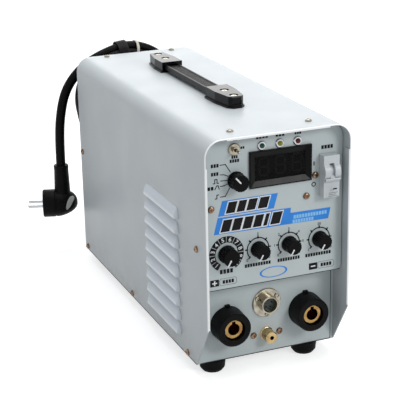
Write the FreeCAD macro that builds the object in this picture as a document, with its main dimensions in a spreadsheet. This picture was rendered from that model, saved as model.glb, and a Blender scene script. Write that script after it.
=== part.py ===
import FreeCAD, Part
import math
import os
import re
import Sketcher
from FreeCAD import Placement, Rotation, Vector

# An upright TIG welding machine in a folded steel case: +Z up, front towards -Y, right side +X.
# The origin is at the floor, under the middle of the machine without its mains lead.
doc = FreeCAD.newDocument("TigWelder")
sheet = doc.addObject("Spreadsheet::Sheet", "Sizes")

sizes = [
    # case
    ("caseWidth", 160, "outside width of the cover"),
    ("caseHeight", 250, "height of the cover from its lower edge"),
    ("caseLength", 416, "depth of the cover from front edge to rear edge"),
    ("rearReach", 15, "how far the gas inlet stands out behind the cover"),
    ("footHeight", 13, "height of the rubber feet"),
    ("coverThickness", 1.2, "sheet of the cover"),
    ("coverCorner", 18, "outer bend radius of the cover"),
    ("hemDepth", 10, "width of the folded hem round the front opening"),
    ("hemTopEnd", 24, "where the top hem stops, from the side"),
    ("hemSideEnd", 28, "where the side hem stops, below the top"),
    ("hemRound", 1, "outer rounding of the front rim"),
    ("nosecutDepth", 33, "depth of the slanted cut at the lower front corner"),
    ("nosecutHeight", 52, "height of the slanted cut at the lower front corner"),
    # louvres
    ("louvreCount", 9, "rows of louvres on each side"),
    ("louvrePitch", 16.2, "height from one row to the next"),
    ("louvreLow", 18.5, "lip of the lowest row, above the cover's lower edge"),
    ("louvreFront", 74, "front end of the louvres, behind the front edge"),
    ("louvreLength", 98, "length of a louvre"),
    ("louvreHeight", 12.5, "height of a louvre"),
    ("louvreReach", 4.5, "how far a louvre stands out"),
    # sheet metal inside
    ("panThickness", 1.5, "sheet of the base pan and the panels"),
    ("fitGap", 0.2, "gap between the cover and the sheets inside it"),
    ("flangeHeight", 22, "upturned side flanges of the base pan"),
    ("lowerPlane", 33, "lower front panel, behind the front edge"),
    ("lowerHeight", 112, "height of the lower front panel"),
    ("controlPlane", 15, "control panel, behind the front edge"),
    ("controlLow", 87.5, "lower edge of the control panel, above the cover's lower edge"),
    ("controlCorner", 6, "lower corners of the control panel"),
    ("trayGap", 0.8, "gap between the cover and the control and rear panels"),
    ("rearPlane", 3, "rear panel, ahead of the rear edge"),
    ("rearFlange", 20, "flange of the rear panel"),
    ("rearLow", 33.5, "lower edge of the rear panel's flange"),
    ("lipHeight", 10, "upturned rear lip of the base pan"),
    # screws
    ("screwRadius", 2, "M4 screw"),
    ("screwHole", 2.25, "clearance hole of an M4 screw"),
    ("headRadius", 3.5, "pan head of an M4 screw"),
    ("headHeight", 2.3, "pan head of an M4 screw"),
    ("screwLength", 7, "M4 screw under its head"),
    ("smallScrewRadius", 1.5, "M3 screw"),
    ("smallHeadRadius", 2.6, "pan head of an M3 screw"),
    ("smallHeadHeight", 1.7, "pan head of an M3 screw"),
    ("smallScrewLength", 6, "M3 screw under its head"),
    ("recessWidth", 0.9, "arm of a cross recess"),
    ("sideScrewFront", 26, "front side screw, behind the front edge"),
    ("sideScrewHeight", 131.5, "front and rear side screws"),
    ("sideScrewRear", 8.5, "rear side screw, ahead of the rear edge"),
    ("lowScrewHeight", 4.5, "lower side screws"),
    ("lowScrewFront", 57, "first lower side screw, behind the front edge"),
    ("lowScrewMiddle", 233, "second lower side screw, behind the front edge"),
    ("lowScrewRear", 11, "third lower side screw, ahead of the rear edge"),
    ("topScrewSpan", 43, "top screws, from the middle"),
    ("topScrewFront", 23, "front top screws, behind the front edge"),
    ("topScrewRear", 10, "rear top screws, ahead of the rear edge"),
    # feet
    ("footTop", 14.4, "radius of a foot where it meets the pan"),
    ("footWaist", 13.4, "radius of a foot above its chamfer"),
    ("footBottom", 10.6, "radius of a foot at the floor"),
    ("footChamfer", 3.6, "height of a foot's chamfer"),
    ("footSpan", 53.5, "feet, from their own middle"),
    ("footShift", 4.5, "middle of the feet left of the middle"),
    ("footInset", 44, "feet, from the front and rear edges"),
    ("footBore", 4.2, "recess for the screw's head"),
    ("footBoreDepth", 8, "recess for the screw's head"),
    # handle
    ("handleShift", 16.5, "middle of the handle behind the middle of the cover"),
    ("handleLength", 245, "from nose to nose"),
    ("capLength", 56, "length of an end cap"),
    ("capWidth", 25, "width of an end cap at its mouth"),
    ("capNose", 17, "width of an end cap at its nose"),
    ("capHeight", 12.5, "height of an end cap"),
    ("capFlange", 2.2, "foot of an end cap"),
    ("capFlangeReach", 1.6, "how far the foot stands out"),
    ("strapWidth", 17.5, "width of the strap"),
    ("strapHeight", 5.2, "thickness of the strap with its ribs"),
    ("strapLift", 3.2, "underside of the strap above the lid"),
    ("strapRib", 1.1, "height of a rib"),
    ("strapPitch", 4, "one rib to the next"),
    ("strapInside", 30, "length of the strap in a cap"),
    ("strapGap", 0.3, "play of the strap in a cap"),
    ("strapBead", 2.6, "width of the bead along each side of the strap"),
    ("strapBeadRise", 0.7, "bead above the ribs"),
    ("capScrewNear", 22, "screw from the mouth of a cap"),
    ("capScrewFar", 47, "screw from the mouth of a cap"),
    ("noseHollow", 2.4, "depth of the hollow in the nose"),
    ("noseHollowWidth", 11, "hollow in the nose"),
    ("noseHollowHeight", 4.6, "hollow in the nose"),
    ("capBore", 4.9, "recess of a cap screw"),
    ("capBoreDepth", 2.8, "recess of a cap screw"),
    ("capHeadRadius", 4.2, "head of a cap screw"),
    ("capHeadHeight", 2.3, "head of a cap screw"),
    # display
    ("displayLeft", -26.5, "left side of the display bezel"),
    ("displayWidth", 68.5, "display bezel"),
    ("displayLow", 191, "lower edge of the bezel, above the cover's lower edge"),
    ("displayHeight", 38, "display bezel"),
    ("bezelProud", 2.6, "bezel in front of the control panel"),
    ("bezelEdge", 1.2, "flat rim of the bezel"),
    ("bezelSlope", 5.3, "sloping face of the bezel"),
    ("bezelInset", 3.2, "cut-out in the panel, inside the bezel"),
    ("windowThickness", 2, "display window"),
    ("boardThickness", 1.6, "circuit boards"),
    ("digitWidth", 12.6, "block of one digit"),
    ("digitHeight", 19, "block of one digit"),
    ("digitDepth", 8, "block of one digit"),
    ("digitCount", 3, "digits"),
    ("digitPitch", 18.4, "from one digit to the next"),
    ("digitShift", 2.4, "digits right of the middle of the bezel"),
    # lamps
    ("lampHeight", 234, "lamps and toggle, above the cover's lower edge"),
    ("lampMiddle", 7, "middle lamp"),
    ("lampPitch", 19.75, "one lamp to the next"),
    ("lampRing", 4.75, "outer radius of a lamp's ring"),
    ("lampRingHeight", 1.8, "lamp's ring"),
    ("lampBush", 3.9, "bush of the ring through the panel"),
    ("lensRadius", 2.7, "lens of a lamp"),
    ("lensProud", 4.2, "tip of the lens in front of the panel"),
    # toggle switch
    ("togglePlace", -42.5, "toggle switch"),
    ("toggleNutRadius", 6.3, "round nut of the toggle switch"),
    ("toggleNutHeight", 2.2, "round nut of the toggle switch"),
    ("toggleBush", 3, "threaded bush"),
    ("toggleBushProud", 5, "threaded bush in front of the panel"),
    ("toggleBore", 1.95, "bore of the bush"),
    ("toggleBall", 1.85, "ball at the lever's pivot"),
    ("togglePivot", 3, "pivot in front of the panel"),
    ("toggleStem", 1.05, "lever at its root"),
    ("toggleTip", 1.5, "lever at its tip"),
    ("toggleProud", 14, "tip of the lever in front of the panel"),
    # knobs
    ("knobRowHeight", 125.5, "row of dial knobs, above the cover's lower edge"),
    ("currentPlace", -52, "current knob"),
    ("dialPitch", 34.7, "one dial knob to the next"),
    ("currentKnobRadius", 9.5, "current knob"),
    ("dialKnobRadius", 8.5, "other dial knobs"),
    ("knobHeight", 14.8, "front of a knob before the panel"),
    ("knobLift", 0.8, "back of a knob before the panel"),
    ("skirtHeight", 3, "skirt of a knob"),
    ("skirtStep", 0.6, "grip inside the skirt"),
    ("knobChamfer", 0.8, "front edge of a knob"),
    ("fluteCount", 18, "flutes round a knob"),
    ("fluteRadius", 0.9, "flute"),
    ("nutRoom", 6.9, "recess under a knob"),
    ("nutRoomHeight", 4.2, "recess under a knob"),
    ("shaftRadius", 3, "shaft of a control"),
    ("runningGap", 0.06, "radial gap of a shaft in its bush"),
    ("seatGap", 0.03, "radial gap of a knob on its shaft"),
    ("bushRadius", 4.4, "bush of a control"),
    ("bushProud", 3.2, "bush of a control in front of the panel"),
    ("controlNut", 5.5, "half the width across flats of a control's nut"),
    ("controlNutHeight", 2, "nut of a control"),
    ("potRadius", 8.3, "case of a potentiometer"),
    ("potDepth", 10, "case of a potentiometer"),
    ("potBore", 3, "depth of a shaft in a potentiometer's case"),
    ("selectorPlace", -41, "selector knob"),
    ("selectorHeight", 202, "selector knob, above the cover's lower edge"),
    ("selectorKnobRadius", 9.2, "selector knob"),
    ("selectorRadius", 12.5, "case of the selector switch"),
    ("selectorDepth", 16, "case of the selector switch"),
    # breaker
    ("breakerPlace", 60.5, "breaker"),
    ("breakerHeight", 194.2, "breaker, above the cover's lower edge"),
    ("breakerWidth", 17.7, "breaker module"),
    ("noseHeight", 44.5, "nose of the breaker"),
    ("noseProud", 10.4, "nose in front of the panel"),
    ("pivotRise", 4.8, "axis of the toggle above the middle of the breaker"),
    ("pivotProud", 3.6, "axis of the toggle in front of the panel"),
    ("cradleRadius", 10.5, "cheeks beside the toggle"),
    ("breakerBackHeight", 80, "breaker behind the panel"),
    ("breakerBackDepth", 44, "breaker behind the panel"),
    ("breakerSlot", 5.4, "slot between the cheeks"),
    ("breakerRoom", 11.5, "radius of the slot"),
    ("breakerDrum", 7, "drum of the toggle"),
    ("breakerLever", 4.6, "thickness of the toggle's bar"),
    ("breakerBarWidth", 16.6, "width of the toggle's bar"),
    ("breakerBarRoot", 11.2, "back of the bar from the axis"),
    ("breakerBarTip", 13, "front of the bar from the axis"),
    ("breakerPin", 2, "spindle of the toggle"),
    ("breakerTilt", 40, "bar below level at rest, in degrees"),
    ("breakerGap", 0.35, "play of the toggle"),
    # output sockets
    ("socketSpan", 45, "output sockets, from the middle"),
    ("socketHeight", 41, "output sockets, above the cover's lower edge"),
    ("socketRadius", 19.2, "insulator"),
    ("socketProud", 21, "insulator in front of the panel"),
    ("socketTaper", 0.9, "narrowing of the insulator towards the front"),
    ("socketNeck", 13, "neck of the insulator through the panel"),
    ("socketNeckDepth", 15, "neck behind the panel's face"),
    ("socketWeb", 3, "web at the end of the neck"),
    ("insertRadius", 9.7, "brass insert"),
    ("insertHexagon", 9.6, "half the width across flats of the insert's nose"),
    ("insertCorner", 10.7, "rounded corners of the insert's nose"),
    ("insertNose", 4, "height of the insert's nose"),
    ("insertRoom", 11.5, "recess round the insert's nose"),
    ("insertRecess", 3.5, "insert behind the insulator's front"),
    ("insertBore", 6.5, "bore of the insert"),
    ("insertFloor", 4, "floor of the bore"),
    ("keyWidth", 4, "keyway of the bore"),
    ("keyDepth", 2.2, "keyway of the bore"),
    ("tailRadius", 6, "threaded tail of the insert"),
    ("tailLength", 16, "threaded tail behind the neck"),
    ("socketLugWidth", 5, "lug on the insulator"),
    ("socketLug", 2, "lug on the insulator"),
    ("socketLugDepth", 3, "lug on the insulator"),
    ("ringNut", 16.5, "half the width across flats of the ring nut"),
    ("ringNutHeight", 5, "ring nut"),
    ("tailNut", 9.5, "half the width across flats of the tail nut"),
    ("tailNutHeight", 6, "tail nut"),
    # remote socket
    ("connectorHeight", 56.5, "remote socket, above the cover's lower edge"),
    ("flangeRadius", 16, "flange of the remote socket"),
    ("flangeThickness", 1.8, "flange of the remote socket"),
    ("barrelRadius", 9.6, "barrel of the remote socket"),
    ("barrelProud", 10, "barrel in front of the panel"),
    ("barrelBore", 8, "mouth of the barrel"),
    ("barrelBack", 14, "barrel behind the panel"),
    ("insertSet", 5.5, "insert behind the barrel's mouth"),
    ("pinCount", 5, "contacts of the remote socket"),
    ("pinCircle", 4.2, "circle of the contacts"),
    ("pinRadius", 0.9, "hole of a contact"),
    ("flangeScrewCircle", 12.8, "circle of the flange screws"),
    # gas
    ("gasHeight", 21, "gas outlet, above the cover's lower edge"),
    ("gasRadius", 6.6, "gas outlet"),
    ("gasProud", 14, "gas outlet in front of the panel"),
    ("gasBore", 2.3, "bore of the gas outlet"),
    ("gasFlangeRadius", 7.3, "flange of the gas outlet"),
    ("gasFlange", 1.4, "flange of the gas outlet"),
    ("gasNeck", 5, "gas outlet through the panel"),
    ("gasNeckDepth", 12, "gas outlet behind the panel"),
    ("hoseTail", 3, "hose tail"),
    ("hoseTailLength", 14, "hose tail"),
    ("hoseRadius", 5, "gas hose"),
    ("hoseWall", 1.9, "wall of the gas hose"),
    ("inletPlace", -55, "gas inlet and valve"),
    ("inletHeight", 21, "gas inlet, above the cover's lower edge"),
    ("inletNut", 7, "half the width across flats of the gas inlet"),
    ("inletNutHeight", 5, "hexagon of the gas inlet"),
    ("inletRadius", 4, "hose tail of the gas inlet"),
    ("valveWidth", 24, "valve block"),
    ("valveDepth", 28, "valve block"),
    ("valveTall", 20, "valve block"),
    ("valveCoil", 26, "coil of the valve"),
    # fan
    ("fanHeight", 98, "fan, above the cover's lower edge"),
    ("fanSide", 120, "fan frame"),
    ("fanDepth", 25.4, "fan frame"),
    ("fanWall", 3, "frame outside the duct, at its thinnest"),
    ("fanHub", 21, "hub of the fan"),
    ("fanMotorDepth", 6, "motor plate of the fan"),
    ("bladeCount", 7, "blades"),
    ("bladeGap", 1.5, "gap between a blade and the duct"),
    ("bladeThickness", 1.8, "blade"),
    ("bladeTilt", 38, "pitch of a blade, in degrees"),
    ("fanPin", 2, "spindle of the fan"),
    ("fanHoleInset", 7.5, "fan screws, from the sides of the frame"),
    ("guardWire", 0.9, "wire of the guard"),
    ("guardLift", 2.4, "guard wires behind the panel's face"),
    ("guardRings", 4, "rings of the guard"),
    ("guardFirst", 13, "smallest ring"),
    ("guardInset", 3.5, "outer ring inside the duct"),
    # inside
    ("boardLift", 12, "power board above the pan"),
    ("boardLeft", -42, "left side of the power board"),
    ("boardWidth", 116, "power board"),
    ("boardFront", 112, "power board, behind the lower front panel"),
    ("boardLength", 200, "power board"),
    ("postRadius", 3.5, "posts under the power board"),
    ("postInset", 7, "posts from the board's edges"),
    ("canRadius", 15, "capacitor"),
    ("canHeight", 46, "capacitor"),
    ("canPitch", 34, "one capacitor to the next"),
    ("sinkWidth", 34, "heat sink"),
    ("sinkLength", 120, "heat sink"),
    ("sinkHeight", 72, "heat sink"),
    ("sinkWall", 5, "back of a heat sink"),
    ("finCount", 8, "fins of a heat sink"),
    ("finThickness", 2, "fin"),
    ("coreWidth", 66, "transformer core"),
    ("coreDepth", 30, "transformer core"),
    ("coreHeight", 56, "transformer core"),
    ("coreLeg", 11, "outer legs of the core"),
    ("windingReach", 9, "winding in front of and behind the core"),
    ("reactorRadius", 27, "output reactor"),
    ("reactorHole", 11, "hole of the output reactor"),
    ("reactorTall", 30, "output reactor"),
    ("reactorPlace", 42, "output reactor"),
    ("reactorBack", 76, "output reactor, behind the lower front panel"),
    # mains lead
    ("cordRadius", 6, "mains lead"),
    ("coilRadius", 60.5, "middle of the tied coil"),
    ("coilThickness", 16.5, "radius of the tied bundle"),
    ("coilPlace", -5, "middle of the coil"),
    ("coilHeight", 183, "middle of the coil, above the cover's lower edge"),
    ("coilBack", 30, "middle of the coil, behind the rear edge"),
    ("glandNut", 13, "half the width across flats of the gland"),
    ("glandNutHeight", 8, "hexagon of the gland"),
    ("glandNeck", 9.5, "gland through the rear panel"),
    ("glandBoot", 9.3, "sleeve of the gland at its root"),
    ("glandTip", 7.6, "sleeve of the gland at its tip"),
    ("glandReach", 46, "tip of the sleeve behind the rear edge"),
    ("plugRadius", 18.2, "body of the plug"),
    ("plugReach", 26, "face of the plug from the middle of its neck"),
    ("plugPlace", -99, "neck of the plug"),
    ("plugTurn", 17, "turn of the plug about its neck, in degrees"),
    ("plugDepth", 45, "body of the plug"),
    ("plugHeight", 54.5, "axis of the plug, above the cover's lower edge"),
    ("plugBack", 30.5, "axis of the plug, behind the rear edge"),
    ("neckTop", 106, "top of the plug's sleeve, above the cover's lower edge"),
    ("neckRoot", 10.2, "sleeve at the plug"),
    ("neckTip", 8.2, "sleeve at the lead"),
    ("prongRadius", 2.4, "pin of the plug"),
    ("prongLength", 19, "pin of the plug"),
    ("prongPitch", 19, "one pin to the other"),
]
for row, (alias, number, note) in enumerate(sizes, start=1):
    sheet.set("A%d" % row, alias)
    sheet.set("B%d" % row, str(number))
    sheet.set("C%d" % row, note)
    sheet.setAlias("B%d" % row, alias)
doc.recompute()
aliases = {alias for alias, number, note in sizes}

# The planes that the pieces are placed from.
frontEdge = "(0 - (caseLength + rearReach) / 2)"
rearEdge = "((caseLength - rearReach) / 2)"
lidTop = "(footHeight + caseHeight)"
innerHalf = "(caseWidth / 2 - coverThickness - fitGap)"
trayHalf = "(caseWidth / 2 - coverThickness - trayGap)"
controlFace = "(%s + controlPlane)" % frontEdge
lowerFace = "(%s + lowerPlane)" % frontEdge
rearFace = "(%s - rearPlane)" % rearEdge

facings = {
    "up": Rotation(),
    "down": Rotation(Vector(1, 0, 0), 180),
    "front": Rotation(Vector(1, 0, 0), 90),
    "back": Rotation(Vector(0, 0, 1), 180).multiply(Rotation(Vector(1, 0, 0), 90)),
    "right": Rotation(Vector(0, 1, 0), 90),
    "left": Rotation(Vector(0, 1, 0), -90),
}
nodes = []


def formula(text):
    """An expression of the document, from one that names the sheet's values alone."""
    return re.sub(r"[A-Za-z]\w*", lambda m: "Sizes." + m[0] if m[0] in aliases else m[0], str(text))


def value(text):
    return float(sheet.evalExpression(formula(text)))


def bind(thing, **texts):
    for name, text in texts.items():
        thing.setExpression(name, formula(text))
    return thing


def place(thing, start, facing="up"):
    thing.Placement = Placement(Vector(*[value(text) for text in start]), facings[facing])
    for axis, text in zip("xyz", start):
        thing.setExpression(".Placement.Base." + axis, formula(text))
    return thing


def keep(thing, node):
    thing.Label = node
    nodes.append(thing)
    return thing


def block(name, start, lengths):
    thing = doc.addObject("Part::Box", name)
    bind(thing, Length=lengths[0], Width=lengths[1], Height=lengths[2])
    return place(thing, start)


def rod(name, radius, length, start, facing="up"):
    thing = doc.addObject("Part::Cylinder", name)
    bind(thing, Radius=radius, Height=length)
    return place(thing, start, facing)


def cone(name, root, tip, length, start, facing="up"):
    thing = doc.addObject("Part::Cone", name)
    bind(thing, Radius1=root, Radius2=tip, Height=length)
    return place(thing, start, facing)


def joined(name, *pieces):
    thing = doc.addObject("Part::MultiFuse", name)
    thing.Shapes = list(pieces)
    thing.Refine = True
    return thing


def less(name, base, *tools):
    thing = doc.addObject("Part::Cut", name)
    thing.Base = base
    thing.Tool = tools[0] if len(tools) == 1 else joined(name + "Holes", *tools)
    thing.Refine = True
    return thing


def common(name, *pieces):
    thing = doc.addObject("Part::MultiCommon", name)
    thing.Shapes = list(pieces)
    return thing


def copies(name, master, places):
    """Separate copies of one piece, each at its own place, in one group."""
    links = []
    for number, (start, facing) in enumerate(places, start=1):
        link = doc.addObject("App::Link", "%s%d" % (name, number))
        link.LinkedObject = master
        links.append(place(link, start, facing))
    group = doc.addObject("Part::Compound", name)
    group.Links = links
    return group


def together(name, *pieces):
    group = doc.addObject("Part::Compound", name)
    group.Links = list(pieces)
    return group


def solid(name, shape):
    thing = doc.addObject("Part::Feature", name)
    thing.Shape = shape
    return thing


def newBody(name):
    return doc.addObject("PartDesign::Body", name)


def outline(body, role, points, lift="0"):
    """A closed outline of straight lines, each corner bound to its two expressions."""
    sketch = body.newObject("Sketcher::SketchObject", body.Name + "Outline")
    plane = [item for item in body.Origin.OriginFeatures if item.Role == role][0]
    sketch.AttachmentSupport = [(plane, "")]
    sketch.MapMode = "FlatFace"
    sketch.setExpression(".AttachmentOffset.Base.z", formula(lift))
    spots = [Vector(value(across), value(up), 0) for across, up in points]
    for here, there in zip(spots, spots[1:] + spots[:1]):
        sketch.addGeometry(Part.LineSegment(here, there), False)
    for number in range(len(spots)):
        sketch.addConstraint(Sketcher.Constraint("Coincident", number, 2, (number + 1) % len(spots), 1))
    for number, (spot, texts) in enumerate(zip(spots, points)):
        for kind, distance, text in (("DistanceX", spot.x, texts[0]), ("DistanceY", spot.y, texts[1])):
            index = sketch.addConstraint(Sketcher.Constraint(kind, number, 1, distance))
            sketch.setExpression("Constraints[%d]" % index, formula(text))
    return sketch


def circle(body, role, across, up, radius, lift="0"):
    """A circle bound to its middle and radius."""
    sketch = body.newObject("Sketcher::SketchObject", body.Name + "Circle")
    plane = [item for item in body.Origin.OriginFeatures if item.Role == role][0]
    sketch.AttachmentSupport = [(plane, "")]
    sketch.MapMode = "FlatFace"
    sketch.setExpression(".AttachmentOffset.Base.z", formula(lift))
    middle = Vector(value(across), value(up), 0)
    sketch.addGeometry(Part.Circle(middle, Vector(0, 0, 1), value(radius)), False)
    for kind, distance, text in (("DistanceX", middle.x, across), ("DistanceY", middle.y, up)):
        index = sketch.addConstraint(Sketcher.Constraint(kind, 0, 3, distance))
        sketch.setExpression("Constraints[%d]" % index, formula(text))
    index = sketch.addConstraint(Sketcher.Constraint("Radius", 0, value(radius)))
    sketch.setExpression("Constraints[%d]" % index, formula(radius))
    return sketch


def turned(name, points, start=("0", "0", "0"), facing="up"):
    """A lathe-turned piece from its (radius, height) outline."""
    body = newBody(name)
    sketch = outline(body, "XZ_Plane", points)
    spun = body.newObject("PartDesign::Revolution", name + "Turned")
    spun.Profile = sketch
    spun.ReferenceAxis = (sketch, ["V_Axis"])
    spun.Angle = 360
    return place(body, start, facing)


def plate(name, role, points, thickness, start=("0", "0", "0"), facing="up", lift="0"):
    """A flat piece from its outline."""
    body = newBody(name)
    sketch = outline(body, role, points, lift)
    pad = body.newObject("PartDesign::Pad", name + "Pad")
    pad.Profile = sketch
    bind(pad, Length=thickness)
    return place(body, start, facing)


def rounded(body, radius, wanted):
    """Round the edges of a body that the test picks."""
    doc.recompute()
    tip = body.Tip
    edges = ["Edge%d" % (i + 1) for i, edge in enumerate(tip.Shape.Edges) if wanted(edge)]
    fillet = body.newObject("PartDesign::Fillet", body.Name + "Round")
    fillet.Base = (tip, edges)
    bind(fillet, Radius=radius)
    return body


def brick(name, start, lengths):
    """A body that starts as a plain block, for rounding."""
    body = newBody(name)
    box = body.newObject("PartDesign::AdditiveBox", name + "Box")
    bind(box, Length=lengths[0], Width=lengths[1], Height=lengths[2])
    return place(body, start)


def along(edge, axis):
    """True for a straight edge along one axis of its body."""
    if len(edge.Vertexes) < 2:
        return False
    run = edge.Vertexes[1].Point - edge.Vertexes[0].Point
    rest = [abs(part) for i, part in enumerate(run) if i != "xyz".index(axis)]
    return abs(run["xyz".index(axis)]) > 0.01 and max(rest) < 1e-6


def hexagon(half, turn=0):
    """Corners of a hexagon from half its width across flats."""
    reach = "(%s / cos(30deg))" % half
    return [("%s * cos(%ddeg)" % (reach, a), "%s * sin(%ddeg)" % (reach, a))
            for a in range(turn, 360 + turn, 60)]


def nut(name, half, hole, height, start, facing="up"):
    """A hexagon nut with a plain hole."""
    body = plate(name, "XY_Plane", hexagon(half), height, start, facing)
    cut = body.newObject("PartDesign::Pocket", name + "Hole")
    cut.Profile = circle(body, "XY_Plane", "0", "0", hole)
    cut.Reversed = True
    cut.Type = "ThroughAll"
    return body


def panHead(name, radius, height, shank, length, recess):
    """A pan-head screw that points down, with a cross recess, its seat at the origin."""
    body = turned(
        name + "Turned",
        [("0", "0 - %s" % length), (shank, "0 - %s" % length), (shank, "0"), (radius, "0"),
         (radius, "%s * 0.45" % height), ("%s * 0.85" % radius, "%s * 0.8" % height),
         ("%s * 0.55" % radius, height), ("0", height)],
    )
    reach = "(%s * 1.1)" % radius
    arms = [
        block("%sArm%d" % (name, number), ("0 - %s / 2" % wide, "0 - %s / 2" % deep, "%s * 0.45" % height),
              (wide, deep, height))
        for number, (wide, deep) in enumerate([(reach, recess), (recess, reach)])
    ]
    return less(name, body, *arms)


# ---- screws -------------------------------------------------------------------------------------
screw = panHead("panScrew", "headRadius", "headHeight", "screwRadius", "screwLength", "recessWidth")
smallScrew = panHead("smallScrew", "smallHeadRadius", "smallHeadHeight", "smallScrewRadius",
                     "smallScrewLength", "recessWidth * 0.8")
sideSpots = [
    ("%s + sideScrewFront" % frontEdge, "footHeight + sideScrewHeight"),
    ("%s + lowScrewFront" % frontEdge, "footHeight + lowScrewHeight"),
    ("%s + lowScrewMiddle" % frontEdge, "footHeight + lowScrewHeight"),
    ("%s - lowScrewRear" % rearEdge, "footHeight + lowScrewHeight"),
    ("%s - sideScrewRear" % rearEdge, "footHeight + sideScrewHeight"),
]
topSpots = [
    ("%s * topScrewSpan" % side, "%s + topScrewFront" % frontEdge) for side in ("-1", "1")
] + [("%s * topScrewSpan" % side, "%s - topScrewRear" % rearEdge) for side in ("-1", "1")]
footSpots = [
    ("%s * footSpan - footShift" % side, y)
    for side in ("-1", "1")
    for y in ("%s + footInset" % frontEdge, "%s - footInset" % rearEdge)
]
frontMouth = "(handleShift - rearReach / 2 - handleLength / 2 + capLength)"
rearMouth = "(handleShift - rearReach / 2 + handleLength / 2 - capLength)"
handleSpots = [("0", "%s - %s" % (frontMouth, back)) for back in ("capScrewNear", "capScrewFar")]
handleSpots += [("0", "%s + %s" % (rearMouth, back)) for back in ("capScrewNear", "capScrewFar")]
keep(copies("sideScrews", screw, [
    (("0 - caseWidth / 2", y, z), "left") for y, z in sideSpots
] + [(("caseWidth / 2", y, z), "right") for y, z in sideSpots]), "side_screws")
keep(copies("topScrews", screw, [((x, y, lidTop), "up") for x, y in topSpots]), "top_screws")


# ---- cover --------------------------------------------------------------------------------------
def louvre(length, height, reach, wall):
    """A pressed hood on the side: its back on x = 0, lip down at z = 0, open below."""

    def dome(bulge, tall, run):
        radius = (tall ** 2 + bulge ** 2) / (2 * bulge)
        half = math.asin(tall / radius) / 2
        middle = Vector(bulge - radius + radius * math.cos(half), 0, radius * math.sin(half))
        root, lip, top = Vector(0, 0, 0), Vector(bulge, 0, 0), Vector(0, 0, tall)
        edges = [Part.makeLine(root, lip), Part.Arc(lip, middle, top).toShape(), Part.makeLine(top, root)]
        face = Part.Face(Part.Wire(edges))
        near = face.revolve(Vector(0, 0, 0), Vector(0, 0, 1), -90)
        span = face.extrude(Vector(0, run, 0))
        far = face.translated(Vector(0, run, 0)).revolve(Vector(0, run, 0), Vector(0, 0, 1), 90)
        return near.fuse([span, far]).removeSplitter().translated(Vector(0, bulge, 0))

    hood = dome(reach, height, length - 2 * reach)
    hollow = dome(reach - wall, height - wall, length - 2 * reach).translated(Vector(0, wall, 0))
    return hood.cut(hollow)


def coverShell():
    shell = brick("coverOutside", ("0 - caseWidth / 2", frontEdge, "footHeight"),
                  ("caseWidth", "caseLength", "caseHeight"))
    top = value("caseHeight")
    rounded(shell, "coverCorner", lambda e: along(e, "y") and e.Vertexes[0].Z > top - 1)
    rounded(shell, "hemRound", lambda e: e.BoundBox.YMax < 0.01 and e.BoundBox.ZMax > 1)
    inside = brick("coverInside", ("coverThickness - caseWidth / 2", "%s - 1" % frontEdge, "footHeight - 1"),
                   ("caseWidth - 2 * coverThickness", "caseLength + 2", "caseHeight - coverThickness + 1"))
    ceiling = value("caseHeight - coverThickness + 1")
    rounded(inside, "coverCorner - coverThickness", lambda e: along(e, "y") and e.Vertexes[0].Z > ceiling - 1)
    notch = newBody("nosecut")
    sketch = outline(notch, "YZ_Plane", [
        ("%s - 1" % frontEdge, "footHeight - 1"),
        ("%s + nosecutDepth + nosecutDepth / nosecutHeight" % frontEdge, "footHeight - 1"),
        ("%s - 1" % frontEdge, "footHeight + nosecutHeight + nosecutHeight / nosecutDepth"),
    ])
    pad = notch.newObject("PartDesign::Pad", "nosecutPad")
    pad.Profile = sketch
    pad.Midplane = True
    bind(pad, Length="caseWidth + 2")
    u = less("coverBent", shell, inside, notch)
    hems = [block("hemTop", ("hemTopEnd - caseWidth / 2", frontEdge, "%s - 2 * coverThickness" % lidTop),
                  ("caseWidth - 2 * hemTopEnd", "hemDepth", "coverThickness"))]
    low = "footHeight + nosecutHeight"
    for name, x in (("hemLeft", "coverThickness - caseWidth / 2"),
                    ("hemRight", "caseWidth / 2 - 2 * coverThickness")):
        hems.append(block(name, (x, frontEdge, low),
                          ("coverThickness", "hemDepth", "caseHeight - hemSideEnd - nosecutHeight")))
    return joined("coverHemmed", u, *hems)


def cover():
    wall, length, reach = value("coverThickness"), value("louvreLength"), value("louvreReach")
    tall = value("louvreHeight")
    hood = louvre(length, tall, reach, wall)
    opening = Part.makeBox(wall + 0.2, length - 2 * reach, tall - wall, Vector(-wall - 0.1, reach, 0))
    hoods, openings = [], []
    for row in range(int(value("louvreCount"))):
        spot = Vector(value("caseWidth / 2"), value("%s + louvreFront" % frontEdge),
                      value("footHeight + louvreLow + %d * louvrePitch" % row))
        hoods.append(hood.translated(spot))
        openings.append(opening.translated(spot))
    across = Vector(1, 0, 0)
    hoods += [shape.mirror(Vector(0, 0, 0), across) for shape in hoods]
    openings += [shape.mirror(Vector(0, 0, 0), across) for shape in openings]
    louvres = solid("louvres", Part.makeCompound(hoods))
    slots = solid("louvreSlots", Part.makeCompound(openings))
    whole = joined("coverLouvred", coverShell(), louvres)
    holes = [rod("coverSide%d" % i, "screwHole", "caseWidth + 2", ("0 - caseWidth / 2 - 1", y, z), "right")
             for i, (y, z) in enumerate(sideSpots)]
    holes += [rod("coverTop%d" % i, "screwHole", "6", (x, y, "%s - 4" % lidTop))
              for i, (x, y) in enumerate(topSpots + handleSpots)]
    return less("cover", whole, slots, *holes)


keep(cover(), "cover")


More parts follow.
